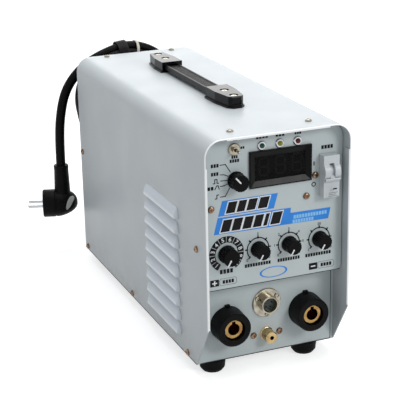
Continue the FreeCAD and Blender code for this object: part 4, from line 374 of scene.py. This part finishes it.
nodeFinish = {
    "caseEnamel": ["cover"],
    "panelEnamel": ["base_pan", "control_panel", "rear_panel"],
    "yellowZinc": ["side_screws", "panel_screws"],
    "brightNickel": ["handle_screws"],
    "dullNickel": ["top_screws", "flange_screws", "toggle_switch", "toggle_lever", "control_nuts",
                   "connector_shell"],
    "platedSteel": ["chassis_screws", "potentiometers", "selector_switch"],
    "footRubber": ["feet"],
    "capBlack": ["handle_cap_front", "handle_cap_rear"],
    "strapBlack": ["handle_strap"],
    "bezelGloss": ["display_bezel"],
    "glossBlack": ["current_knob", "crater_knob", "gas_time_knob", "pulse_knob", "selector_knob"],
    "insertGreen": ["connector_insert"],
    "smokedWindow": ["display_window"],
    "mouldedBlack": ["display_digits", "socket_insulators", "cord_gland", "plug_body"],
    "chromeRing": ["lamp_rings", "plug_pins"],
    "lampLens": ["lamp_lenses"],
    "breakerGrey": ["breaker_body", "breaker_toggle"],
    "socketBrass": ["socket_inserts"],
    "turnedBrass": ["socket_nuts", "gas_outlet", "gas_inlet", "gas_valve"],
    "fanBlack": ["fan_frame", "fan_rotor"],
    "guardWire": ["fan_guard"],
    "extrudedAluminium": ["heat_sinks", "current_shaft", "crater_shaft", "gas_time_shaft", "pulse_shaft",
                          "selector_shaft"],
    "boardLacquer": ["power_board"],
    "canSleeve": ["capacitors"],
    "ferrite": ["transformer_core"],
    "copperWinding": ["transformer_winding"],
    "reactorTape": ["output_reactor"],
    "hoseRubber": ["gas_hose"],
    "leadRubber": ["cord_lead", "cord_drop", "cord_coil"],
}
for finishName, names in nodeFinish.items():
    for name in names:
        mesh = cadNodes[name].data
        mesh.materials.clear()
        mesh.materials.append(materials[finishName])
print("stage: finishes are on the metal and plastic")


# helpers for new pieces
def addPiece(name, bm, finishName, body, replaced=(), smoothUnder=35):
    bmesh.ops.remove_doubles(bm, verts=bm.verts, dist=1e-6)
    bmesh.ops.recalc_face_normals(bm, faces=bm.faces)
    mesh = bpy.data.meshes.new(name)
    bm.to_mesh(mesh)
    bm.free()
    mesh.polygons.foreach_set("use_smooth", [True] * len(mesh.polygons))
    mesh.set_sharp_from_angle(angle=math.radians(smoothUnder))
    mesh.materials.append(materials[finishName])
    piece = bpy.data.objects.new(name, mesh)
    bpy.context.scene.collection.objects.link(piece)
    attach(piece, body)
    if replaced:
        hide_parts(*replaced)
    return piece


def spinProfile(bm, points, start, along, turn=None, segments=48):
    # a lathe-turned shape: points are (radius, distance along the axis) in mm
    axis = Vector(along).normalized()
    out = axis.orthogonal().normalized() if turn is None else Vector(turn).normalized()
    made = [bm.verts.new(Vector(start) + out * r * mm + axis * h * mm) for r, h in points]
    edges = [bm.edges.new(pair) for pair in zip(made, made[1:])]
    bmesh.ops.spin(bm, geom=made + edges, cent=start, axis=axis, dvec=(0, 0, 0), angle=math.tau, steps=segments,
                   use_merge=True, use_duplicate=False)


# mains lead
def behind(points):
    return [Vector((x * mm, y * mm + rearEdge, z * mm + foot)) for x, y, z in points]


leadSettings = {
    "radius": 6, "turns": 4.25, "perTurn": 18, "coilRadius": 61.2, "bundle": 10.2, "startAngle": 12, "startSlot": 50,
    "twist": 72,
    "middle": (-5, 30, 183), "length": 2.2,
    "lead": [(-5, 46, 217.7), (-5, 76, 217.7), (-8, 103, 206), (-13, 122, 185), (-20, 130, 158), (-29, 126, 131),
             (-35, 118, 104), (-30, 110, 80), (-17, 103, 60), (3, 96, 47), (27, 88, 42), (51, 80, 47), (71, 73, 60),
             (84, 66, 80), (89, 60, 104), (85, 53, 128), (76, 47, 150)],
    "drop": [(-45, 31, 242), (-69, 32, 226), (-87, 32.5, 203), (-95.5, 31.8, 172), (-99, 30.5, 139),
             (-99, 30.5, 104)],
}


def makeLead(s):
    points = list(s["lead"])
    steps = round(s["turns"] * s["perTurn"])
    for i in range(steps + 1):  # the tied turns lie side by side and twist slowly round each other
        turn = math.radians(s["startAngle"]) + math.tau * i / s["perTurn"]
        slot = math.radians(s["startSlot"]) + math.radians(s["twist"]) * i / s["perTurn"]
        reach = s["coilRadius"] + s["bundle"] * math.cos(slot)
        points.append((s["middle"][0] + reach * math.cos(turn), s["middle"][1] + s["bundle"] * math.sin(slot),
                       s["middle"][2] + reach * math.sin(turn)))
    points += s["drop"]
    route = behind(points)
    data = bpy.data.curves.new("mainsLead", "CURVE")
    data.dimensions = "3D"
    data.bevel_depth = s["radius"] * mm
    data.bevel_resolution = 5
    data.resolution_u = 8
    data.use_fill_caps = True
    spline = data.splines.new("NURBS")
    spline.points.add(len(route) - 1)
    for point, place in zip(spline.points, route):
        point.co = (*place, 1)
    spline.order_u = 3
    spline.use_endpoint_u = True
    data.materials.append(materials["leadRubber"])
    lead = bpy.data.objects.new("mainsLead", data)
    bpy.context.scene.collection.objects.link(lead)
    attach(lead, "case")
    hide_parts("cord_lead", "cord_coil", "cord_drop")
    return lead, route[0]


mainsLead, leadExit = makeLead(leadSettings)

glandSettings = {
    "place": (-5, -3, 217.7), "radius": 9.3, "tip": 7.6, "ribs": 7, "firstRib": 12, "ribPitch": 4.4,
    "hexagon": 15, "hexagonHeight": 8,
    "body": [(0.0, -6.4), (13, -6.4), (13, -1.6), (9.4, -1.6), (9.4, 7.5), (12.2, 7.5), (12.2, 9.2), (10.6, 10.4)],
    "mouth": [(6.8, 49.0), (6.05, 49.0), (6.05, 47.0), (0.0, 47.0)],
}


def makeGland(s):
    bm = bmesh.new()
    start = behind([s["place"]])[0]
    profile = list(s["body"])
    for i in range(s["ribs"]):
        near = s["firstRib"] + i * s["ribPitch"]
        width = s["radius"] + (s["tip"] - s["radius"]) * (i + 1) / (s["ribs"] + 1)
        profile += [(width, near), (width, near + 2.6), (width - 1.5, near + 3.0), (width - 1.5, near + 4.0)]
    profile += [(s["tip"], 43.6), (s["tip"], 48.4)] + s["mouth"]
    spinProfile(bm, profile, start, (0, 1, 0))
    hexagon = bmesh.ops.create_circle(bm, cap_ends=True, segments=6, radius=s["hexagon"] * mm)
    face = [f for f in bm.faces if set(f.verts) == set(hexagon["verts"])][0]
    raised = bmesh.ops.extrude_face_region(bm, geom=[face])
    top = [v for v in raised["geom"] if isinstance(v, bmesh.types.BMVert)]
    bmesh.ops.translate(bm, verts=top, vec=(0, 0, s["hexagonHeight"] * mm))
    whole = list(set(hexagon["verts"] + top))
    bmesh.ops.rotate(bm, verts=whole, cent=(0, 0, 0), matrix=Matrix.Rotation(math.radians(-90), 3, "X"))
    bmesh.ops.translate(bm, verts=whole, vec=Vector(start) + Vector((0, 0.02 * mm, 0)))
    edges = list({e for v in whole for e in v.link_edges})
    bmesh.ops.bevel(bm, geom=edges, offset=0.5 * mm, affect="EDGES", segments=2, profile=0.5, material=-1)
    return addPiece("leadGland", bm, "mouldedBlack", "case", ["cord_gland"])


makeGland(glandSettings)

plugSettings = {
    "place": (-99, 30.5, 54.5), "turn": 17, "reach": 26,
    "body": [(0, 0), (12.6, 0), (13.2, 0.9), (15.6, 0.9), (16.2, 0.0), (17.2, 0.4), (18.0, 1.6), (18.0, 15.5),
             (17.3, 16.2), (17.3, 17.4), (18.0, 18.1), (17.8, 24), (16.9, 30), (15.0, 35.5), (12.0, 40), (8.0, 43.2),
             (3.6, 44.8), (0, 45)],
    "sleeve": [(0.0, 6), (10.4, 6), (10.4, 12), (9.7, 30), (9.2, 46), (9.4, 46.4), (9.5, 50.6), (8.8, 51.4),
               (6.05, 51.4), (6.05, 48), (0.0, 48)],
    "grip": (1.2, 1.6, 16), "grips": [(-4, 17.6), (-0.9, 17.15), (2.2, 16.7)],
}


def makePlug(s):
    bm = bmesh.new()
    spinProfile(bm, s["body"], (-s["reach"] * mm, 0, 0), (1, 0, 0))
    for v in bm.verts:  # the back is leaner than the face and tucks in below
        if v.co.x > -0.006 and v.co.z < 0:
            v.co.z *= 1 - 0.18 * min(1, (v.co.x + 0.006) / 0.02)
    spinProfile(bm, s["sleeve"], (0, 0, 0), (0, 0, 1))
    for side in (-1, 1):  # finger grips pressed into both sides
        for x, y in s["grips"]:
            grip = bmesh.ops.create_cube(bm, size=mm)["verts"]
            bmesh.ops.scale(bm, verts=grip, vec=s["grip"])
            bmesh.ops.translate(bm, verts=grip, vec=(x * mm, side * y * mm, 0))
            edges = list({e for v in grip for e in v.link_edges})
            bmesh.ops.bevel(bm, geom=edges, offset=0.5 * mm, affect="EDGES", segments=2, profile=0.5, material=-1)
    place = behind([s["place"]])[0]
    bmesh.ops.rotate(bm, verts=bm.verts, cent=(0, 0, 0), matrix=Matrix.Rotation(math.radians(-s["turn"]), 3, "Z"))
    bmesh.ops.translate(bm, verts=bm.verts, vec=place)
    return addPiece("plugShell", bm, "leadRubber", "case", ["plug_body"])


plugShell = makePlug(plugSettings)

patchSettings = {"middle": (9.5, -70), "half": (3.6, 36), "lean": 4.2, "rings": 4, "steps": 28, "proud": 0.25,
                 "shape": [(0, 18.0), (4, 17.2), (9.5, 15.2), (14, 12.4), (17, 8.4), (19, 0)]}


def makePlugPatch(s, plug):
    # a bare oval let into the plug's rounded back: places are (along the plug, degrees round it)
    bm = bmesh.new()

    def spot(part, turn):
        x = s["middle"][0] + part * (s["half"][0] * math.cos(turn) + s["lean"] * math.sin(turn))
        around = math.radians(s["middle"][1] + part * s["half"][1] * math.sin(turn))
        for (x0, r0), (x1, r1) in zip(s["shape"], s["shape"][1:]):
            if x0 <= x <= x1:
                reach = r0 + (r1 - r0) * (x - x0) / (x1 - x0) + s["proud"]
        return Vector((x, reach * math.sin(around), reach * math.cos(around))) * mm

    rings = [[bm.verts.new(spot((k + 1) / s["rings"], math.tau * i / s["steps"])) for i in range(s["steps"])]
             for k in range(s["rings"])]
    bm.faces.new(rings[0])
    for inner, outer in zip(rings, rings[1:]):
        for i in range(s["steps"]):
            j = (i + 1) % s["steps"]
            bm.faces.new((inner[i], inner[j], outer[j], outer[i]))
    skirt = bmesh.ops.extrude_edge_only(bm, edges=[e for e in bm.edges if e.is_boundary])["geom"]
    low = [v for v in skirt if isinstance(v, bmesh.types.BMVert)]
    for v in low:
        v.co.y *= 0.93
        v.co.z *= 0.93
    bmesh.ops.rotate(bm, verts=bm.verts, cent=(0, 0, 0), matrix=Matrix.Rotation(math.radians(-plug["turn"]), 3, "Z"))
    bmesh.ops.translate(bm, verts=bm.verts, vec=behind([plug["place"]])[0])
    return addPiece("plugPatch", bm, "plugPatch", "case")


plugPatch = makePlugPatch(patchSettings, plugSettings)

tieSettings = {
    "reach": 60.5,  # from the middle of the coil to the middle of its turns
    "wrap": {"angle": 95, "width": 13, "radius": 16.7}, "tie": {"angle": 79, "width": 3.4, "radius": 16.5},
}


def makeTie(name, finishName, s):
    bm = bmesh.new()
    turn, width, radius = math.radians(s["angle"]), s["width"], s["radius"]
    out = Vector((math.cos(turn), 0, math.sin(turn)))
    along = Vector((-math.sin(turn), 0, math.cos(turn)))
    cent = behind([leadSettings["middle"]])[0] + out * tieSettings["reach"] * mm
    half = width / 2
    ring = [(radius - 0.7, -half), (radius + 0.1, -half), (radius + 0.3, 0.3 - half)]
    for i in range(3):  # the tape overlaps itself in steps
        step, edge = radius + 0.3 - 0.12 * i, (i - 1) * half * 0.55
        ring += [(step, edge), (step - 0.12, edge + 0.2)]
    ring += [(radius + 0.05, half - 0.3), (radius - 0.1, half), (radius - 0.7, half), (radius - 0.7, -half)]
    spinProfile(bm, ring, cent, along, turn=(0, 1, 0))
    return addPiece(name, bm, finishName, "case")


coilWrap = makeTie("coilWrap", "foilBlack", tieSettings["wrap"])
coilTie = makeTie("coilTie", "tieNylon", tieSettings["tie"])
print("stage: the mains lead hangs behind the case")

# prints on the control panel, in mm: x, and height above the case's lower edge
def printPoint(x, z, proud=0.0, face=panelY):
    return Vector((x * mm, face - proud * mm, z * mm + foot))


def raisePrint(bm, faces, thick):
    made = bmesh.ops.extrude_face_region(bm, geom=faces)
    bmesh.ops.translate(bm, verts=[v for v in made["geom"] if isinstance(v, bmesh.types.BMVert)],
                        vec=(0, -thick * mm, 0))


def patch(bm, outline, thick=0.12, proud=0.0, face=panelY):
    raisePrint(bm, [bm.faces.new([bm.verts.new(printPoint(x, z, proud, face)) for x, z in outline])], thick)


def bar(bm, x, z, width, height, lean=0.0, **more):
    slip = lean * height / 2
    patch(bm, [(x - width / 2 - slip, z - height / 2), (x + width / 2 - slip, z - height / 2),
               (x + width / 2 + slip, z + height / 2), (x - width / 2 + slip, z + height / 2)], **more)


def stroke(bm, points, width, **more):
    for (x0, z0), (x1, z1) in zip(points, points[1:]):
        run = Vector((x1 - x0, z1 - z0)).normalized() * width / 2
        patch(bm, [(x0 - run.x - run.y, z0 - run.y + run.x), (x0 - run.x + run.y, z0 - run.y - run.x),
                   (x1 + run.x + run.y, z1 + run.y - run.x), (x1 + run.x - run.y, z1 + run.y + run.x)], **more)


def band(bm, middle, inner, outer, start, end, steps=20, thick=0.12, squash=1.0, proud=0.0):
    # part of a ring; the angles run anticlockwise from three o'clock
    turn, cent = math.radians(start), printPoint(*middle, proud)
    ends = [bm.verts.new(cent + Vector((r * math.cos(turn), 0, r * math.sin(turn))) * mm) for r in (inner, outer)]
    before = set(bm.faces)
    bmesh.ops.spin(bm, geom=ends + [bm.edges.new(ends)], cent=cent, axis=(0, -1, 0), dvec=(0, 0, 0),
                   angle=math.radians(end - start), steps=steps, use_merge=abs(end - start) >= 360,
                   use_duplicate=False)
    faces = [f for f in bm.faces if f not in before]
    flat = Matrix.Diagonal((1, 1, squash, 1))
    bmesh.ops.transform(bm, matrix=Matrix.Translation(cent) @ flat @ Matrix.Translation(-cent),
                        verts=list({v for f in faces for v in f.verts}))
    raisePrint(bm, faces, thick)


def number(bm, text, middle, height, turn=0.0, thick=0.12, proud=0.0, heavy=0.02):
    data = bpy.data.curves.new("numeral", "FONT")
    data.body, data.size = text, height * mm * 1.4
    data.align_x, data.align_y = "CENTER", "CENTER"
    data.extrude, data.offset, data.resolution_u = thick * mm / 2, heavy * height * mm, 3
    shape = bpy.data.objects.new("numeral", data)
    mesh = bpy.data.meshes.new_from_object(shape)
    before = set(bm.verts)
    bm.from_mesh(mesh)
    made = [v for v in bm.verts if v not in before]
    mid = (max(v.co.y for v in made) + min(v.co.y for v in made)) / 2
    across = (max(v.co.x for v in made) + min(v.co.x for v in made)) / 2
    bmesh.ops.translate(bm, verts=made, vec=(-across, -mid, 0))
    bmesh.ops.rotate(bm, verts=made, cent=(0, 0, 0), matrix=Matrix.Rotation(math.radians(90), 3, "X"))
    bmesh.ops.rotate(bm, verts=made, cent=(0, 0, 0), matrix=Matrix.Rotation(math.radians(-turn), 3, "Y"))
    bmesh.ops.translate(bm, verts=made, vec=printPoint(*middle, proud + thick / 2))
    bpy.data.objects.remove(shape)
    bpy.data.curves.remove(data)
    bpy.data.meshes.remove(mesh)


dashes = {"pitch": 1.05, "wide": 0.78, "tall": 1.28}  # pitch and height go by the line's height


def legend(bm, start, end, z, height, **more):
    # a line of plain dashes where a word would stand
    count = max(2, round((end - start) / (height * dashes["pitch"])))
    pitch = (end - start) / count
    for i in range(count):
        bar(bm, start + (i + 0.5) * pitch, z, pitch * dashes["wide"], height * dashes["tall"], **more)


def middleOf(node):
    low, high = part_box(node)
    return ((low[0] + high[0]) / 2 / mm, ((low[2] + high[2]) / 2 - foot) / mm)


dials = {name: middleOf(name + "_knob") for name in ("current", "crater", "gas_time", "pulse", "selector")}

currentPrint = {"inner": 12.2, "outer": 19, "from": 240, "to": -60, "segments": 10, "split": 2.2, "numeral": 4.4}


def makeCurrentScale(s):
    bm, white = bmesh.new(), bmesh.new()
    step = (s["from"] - s["to"]) / s["segments"]
    for i in range(s["segments"]):
        start = s["from"] - i * step
        band(bm, dials["current"], s["inner"], s["outer"], start - step + s["split"] / 2, start - s["split"] / 2, 8)
        turn = math.radians(start - step / 2)
        reach = (s["inner"] + s["outer"]) / 2
        number(white, str(i + 1), (dials["current"][0] + reach * math.cos(turn),
                                   dials["current"][1] + reach * math.sin(turn)),
               s["numeral"], math.degrees(turn) - 90, proud=0.12, thick=0.06, heavy=0.03)
    addPiece("currentScale", bm, "foilBlack", "case")
    addPiece("currentNumbers", white, "foilWhite", "case")


timePrint = {"ring": 12, "line": 1.2, "from": 222, "to": -42, "ticks": 7, "tick": 1.5, "reach": 13.6,
             "numeral": 2.8, "away": 2.6,
             "numbers": {"crater": {0: "0", 3: "5", 6: "10"},
                         "gas_time": {0: "0", 1: "1", 2: "2", 3: "3", 4: "4", 5: "5", 6: "6"},
                         "pulse": {0: "1", 3: "50", 6: "100"}}}


def makeTimeScales(s):
    bm = bmesh.new()
    for name, labels in s["numbers"].items():
        middle = dials[name]
        band(bm, middle, s["ring"] - s["line"] / 2, s["ring"] + s["line"] / 2, s["to"], s["from"], 40)
        for i in range(s["ticks"]):
            turn = math.radians(s["from"] - i * (s["from"] - s["to"]) / (s["ticks"] - 1))
            ray = Vector((math.cos(turn), math.sin(turn)))
            place = [Vector(middle) + ray * r for r in (s["ring"] - 0.2, s["reach"])]
            stroke(bm, place, s["tick"])
            if i in labels:
                spot = Vector(middle) + ray * (s["reach"] + s["away"])
                number(bm, labels[i], spot, s["numeral"])
    addPiece("timeScales", bm, "foilBlack", "case")


selectorPrint = {
    "line": 0.85, "wave": 0.9, "tall": 2.8,
    "leaders": [[(-57.5, 219.5), (-51.8, 219.5), (-46.7, 211.2)], [(-57.5, 209.6), (-53.5, 209.2), (-49.4, 207.2)],
                [(-57, 203.2), (-50.4, 203)], [(-57.5, 197.6), (-53.5, 197.8), (-50.2, 199)],
                [(-57.5, 186.6), (-52.4, 186.6), (-47.6, 194.6)]],
    "words": [(-67.6, -58.8, 219.5), (-67.6, -59.2, 211), (-71.6, -64.6, 196.6)],
    "waves": [[(-65, 201.4), (-63.4, 201.4), (-63.4, 205.4), (-61, 205.4), (-61, 201.4), (-59.4, 201.4)],
              [(-63.4, 195.2), (-61.4, 198.8), (-60, 198.8), (-58.8, 195.2)],
              [(-63.2, 185.4), (-61.4, 185.4), (-61.4, 189.2), (-59.4, 189.2)]],
}


def makeSelectorScale(s):
    bm = bmesh.new()
    for points in s["leaders"]:
        stroke(bm, points, s["line"])
    for points in s["waves"]:
        stroke(bm, points, s["wave"])
    for start, end, z in s["words"]:
        legend(bm, start, end, z, s["tall"])
    addPiece("selectorScale", bm, "foilBlack", "case")


legendPrint = {
    "words": [(-19, -5.4, 242.8, 2.9), (2.4, 12.8, 242.6, 2.9), (23.4, 31.2, 242.4, 2.9),  # lamps
              (-43.6, -39, 243.6, 1.8), (-35.6, -31, 234.4, 1.9), (-45.4, -38.4, 225.8, 2.2),  # toggle
              (-47.4, -36.8, 222, 2.6), (53.4, 67.2, 223.2, 3.0),  # toggle and breaker
              (-60, -45, 107, 3.6), (-32.4, -3, 108.8, 2.8), (4.4, 30, 108.8, 2.8), (36, 66, 108.8, 2.8)],  # dials
    "on": (45.6, 207.2), "off": (45.4, 185.2), "size": 4.2, "stroke": 1.3,
}


def makeLegends(s):
    bm = bmesh.new()
    for start, end, z, height in s["words"]:
        legend(bm, start, end, z, height)
    bar(bm, *s["on"], s["stroke"], s["size"])
    band(bm, s["off"], s["size"] * 0.38, s["size"] * 0.6, 0, 360, 24)
    addPiece("panelLegends", bm, "foilBlack", "case")


bannerPrint = {
    "upper": [(-60.6, 166.4), (0.6, 166.2), (5.2, 181.8), (-56, 182.2)],
    "lower": [(-65.6, 147.6), (62.4, 146), (65, 157.8), (19.4, 158.4), (19.6, 164), (-61, 165)],
    "lean": 0.3,
    "upperBars": [(-45.8, 9.6), (-34.6, 8.6), (-23.4, 9.6), (-10.6, 10.4)], "upperAt": (174.2, 11.6),
    "lowerBars": [(-51.6, 9.8), (-39.8, 9.6), (-28, 9.6), (-16.6, 9.2), (-7.6, 4.2), (3.4, 10.6)],
    "lowerAt": (155.6, 12.6), "edge": 1.1,
    "dashes": [(22.4, 60.8, 153.4, 3.0), (21.4, 45.6, 148.6, 2.8)],
    "oval": {"middle": (0, 97.5), "inner": 13.5, "outer": 15.7, "squash": 0.38},
}


def makeBanner(s):
    blue, white, black, pale = (bmesh.new() for _ in range(4))
    patch(blue, s["upper"], thick=0.1)
    patch(blue, s["lower"], thick=0.1)
    for row, at in (("upperBars", "upperAt"), ("lowerBars", "lowerAt")):
        z, height = s[at]
        for x, width in s[row]:
            bar(white, x, z, width + 2 * s["edge"], height + 2 * s["edge"], s["lean"], proud=0.1, thick=0.05)
            bar(black, x, z, width, height, s["lean"], proud=0.15, thick=0.05)
    for start, end, z, height in s["dashes"]:
        legend(pale, start, end, z, height, proud=0.1, thick=0.05)
    oval = s["oval"]
    band(blue, oval["middle"], oval["inner"], oval["outer"], 0, 360, 64, squash=oval["squash"], thick=0.1)
    addPiece("bannerBlue", blue, "foilBlue", "case")
    addPiece("bannerEdges", white, "foilWhite", "case")
    addPiece("bannerBlocks", black, "foilBlack", "case")
    addPiece("bannerDashes", pale, "foilPaleBlue", "case")


tagPrint = {"tags": [(-70.4, "+"), (40.6, "-")], "low": 92.2, "high": 99.4, "box": 9.6, "label": 18.6, "line": 0.35,
            "sign": (5.2, 1.4), "gap": 0.7, "cut": 1.4}


def makeTags(s):
    black, white, grey = (bmesh.new() for _ in range(3))
    middle, (run, rise), cut = (s["low"] + s["high"]) / 2, s["sign"], s["cut"]
    for x, sign in s["tags"]:
        bar(black, x + s["box"] / 2, middle, s["box"], s["high"] - s["low"])
        bar(white, x + s["box"] / 2, middle, run, rise, proud=0.12, thick=0.05)
        if sign == "+":
            bar(white, x + s["box"] / 2, middle, rise, run, proud=0.12, thick=0.06)
        left = x + s["box"] + s["gap"]
        right = left + s["label"]
        ring = [(left + cut, s["low"]), (right - cut, s["low"]), (right, s["low"] + cut), (right, s["high"] - cut),
                (right - cut, s["high"]), (left + cut, s["high"]), (left, s["high"] - cut), (left, s["low"] + cut)]
        stroke(grey, ring + ring[:1], s["line"])
        legend(black, left + 3, right - 2.6, middle, 2.9)
    addPiece("tagBoxes", black, "foilBlack", "case")
    addPiece("tagSigns", white, "foilWhite", "case")
    addPiece("tagOutlines", grey, "foilGrey", "case")


makeCurrentScale(currentPrint)
makeTimeScales(timePrint)
makeSelectorScale(selectorPrint)
makeLegends(legendPrint)
makeBanner(bannerPrint)
makeTags(tagPrint)
print("stage: the panel is printed")

# pointers on the knobs, segments behind the window, marks on the breaker
pointerSettings = {
    # knob, body, angle, near end, far end
    "currentPointer": ("current", "current_dial", 240, 2.8, 8.4),
    "craterPointer": ("crater", "crater_dial", 240, 2.6, 7.6),
    "gasTimePointer": ("gas_time", "gas_time_dial", 240, 2.6, 7.6),
    "pulsePointer": ("pulse", "pulse_dial", 240, 2.6, 7.6),
    "selectorPointer": ("selector", "selector_dial", 132, 1.6, 8.4),
}
pointerWidth, pointerThickness = 1.5, 0.25


def makePointers(s):
    for name, (knob, body, angle, near, far) in s.items():
        bm = bmesh.new()
        turn = math.radians(angle)
        ray = Vector((math.cos(turn), math.sin(turn)))
        points = [Vector(dials[knob]) + ray * r for r in (near, far)]
        stroke(bm, points, pointerWidth, face=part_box(knob + "_knob")[0][1], thick=pointerThickness)
        bmesh.ops.bevel(bm, geom=list(bm.edges), offset=0.1 * mm, affect="EDGES", segments=2, profile=0.5,
                        material=-1)
        addPiece(name, bm, "foilWhite", body)


segmentSettings = {"wide": 10, "tall": 17.6, "stroke": 1.9, "gap": 0.35, "proud": 0.2, "pitch": 18.4, "shift": 2.4}


def makeSegments(s):
    bm = bmesh.new()
    low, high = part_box("display_digits")
    middle = middleOf("display_bezel")
    h, w, t = s["tall"] / 4, s["wide"] / 2, s["stroke"] / 2
    for i in (-1, 0, 1):
        x, z = middle[0] + s["shift"] + i * s["pitch"], middle[1]
        for level in (-1, 0, 1):  # lying segments, pointed at both ends
            at, reach = z + level * 2 * h, w - s["gap"]
            patch(bm, [(x - reach, at), (x - reach + t, at - t), (x + reach - t, at - t), (x + reach, at),
                       (x + reach - t, at + t), (x - reach + t, at + t)], s["proud"], 0, low[1])
        for side in (-1, 1):  # standing segments
            for half in (-1, 1):
                at, reach, edge = z + half * h, h - s["gap"], x + side * w
                patch(bm, [(edge, at - reach), (edge + t, at - reach + t), (edge + t, at + reach - t),
                           (edge, at + reach), (edge - t, at + reach - t), (edge - t, at - reach + t)],
                      s["proud"], 0, low[1])
    addPiece("digitSegments", bm, "segmentGrey", "case")


breakerPrint = {"mark": (62.4, 182.2, 4.4, 1.5), "lines": [(60.4, 178.4, 10.4, 0.5), (59.4, 176.6, 8.4, 0.5),
                                                           (60.4, 174.9, 10.4, 0.5)]}


def makeBreakerPrint(s):
    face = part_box("breaker_body")[0][1]
    black, grey = bmesh.new(), bmesh.new()
    bar(black, *s["mark"], face=face, thick=0.06)
    for x, z, width, height in s["lines"]:
        bar(grey, x, z, width, height, face=face, thick=0.06)
    addPiece("breakerMark", black, "foilBlack", "case")
    addPiece("breakerLines", grey, "foilGrey", "case")


shadowLineSettings = {"tall": 1.0, "proud": 0.12, "side": 80, "from": -182, "to": 200.3, "front": 76, "line": 0.7,
                "inset": 3, "seam": (42, 82)}


def makeShadowLines(s):
    # painted shadow: thin dark strips that stand in for the shade along the lower edges of the cover's sides and of
    # both front panels, and in the seam beside the lower panel
    bm = bmesh.new()
    low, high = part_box("control_panel")
    across = (high[0] - low[0]) / mm - s["inset"]
    bar(bm, 0, (low[2] - foot) / mm + s["line"] / 2, across, s["line"], thick=s["proud"])
    seamMiddle, seamTall = s["seam"]
    bar(bm, s["front"] - s["line"] / 2, seamMiddle, s["line"], seamTall, face=lowerY, thick=s["proud"])
    bar(bm, 0, s["tall"] / 2, 2 * s["front"], s["tall"], face=lowerY, thick=s["proud"])
    for side in (-1, 1):
        strip = bmesh.ops.create_cube(bm, size=mm)["verts"]
        bmesh.ops.scale(bm, verts=strip, vec=(s["proud"] * 2, s["to"] - s["from"], s["tall"]))
        bmesh.ops.translate(bm, verts=strip, vec=(side * s["side"] * mm, (s["from"] + s["to"]) / 2 * mm,
                                                  foot + s["tall"] / 2 * mm))
    addPiece("lowerEdges", bm, "shadowLinePaint", "case")


makePointers(pointerSettings)
makeShadowLines(shadowLineSettings)
makeSegments(segmentSettings)
makeBreakerPrint(breakerPrint)
print("stage: pointers, segments and small marks are on")
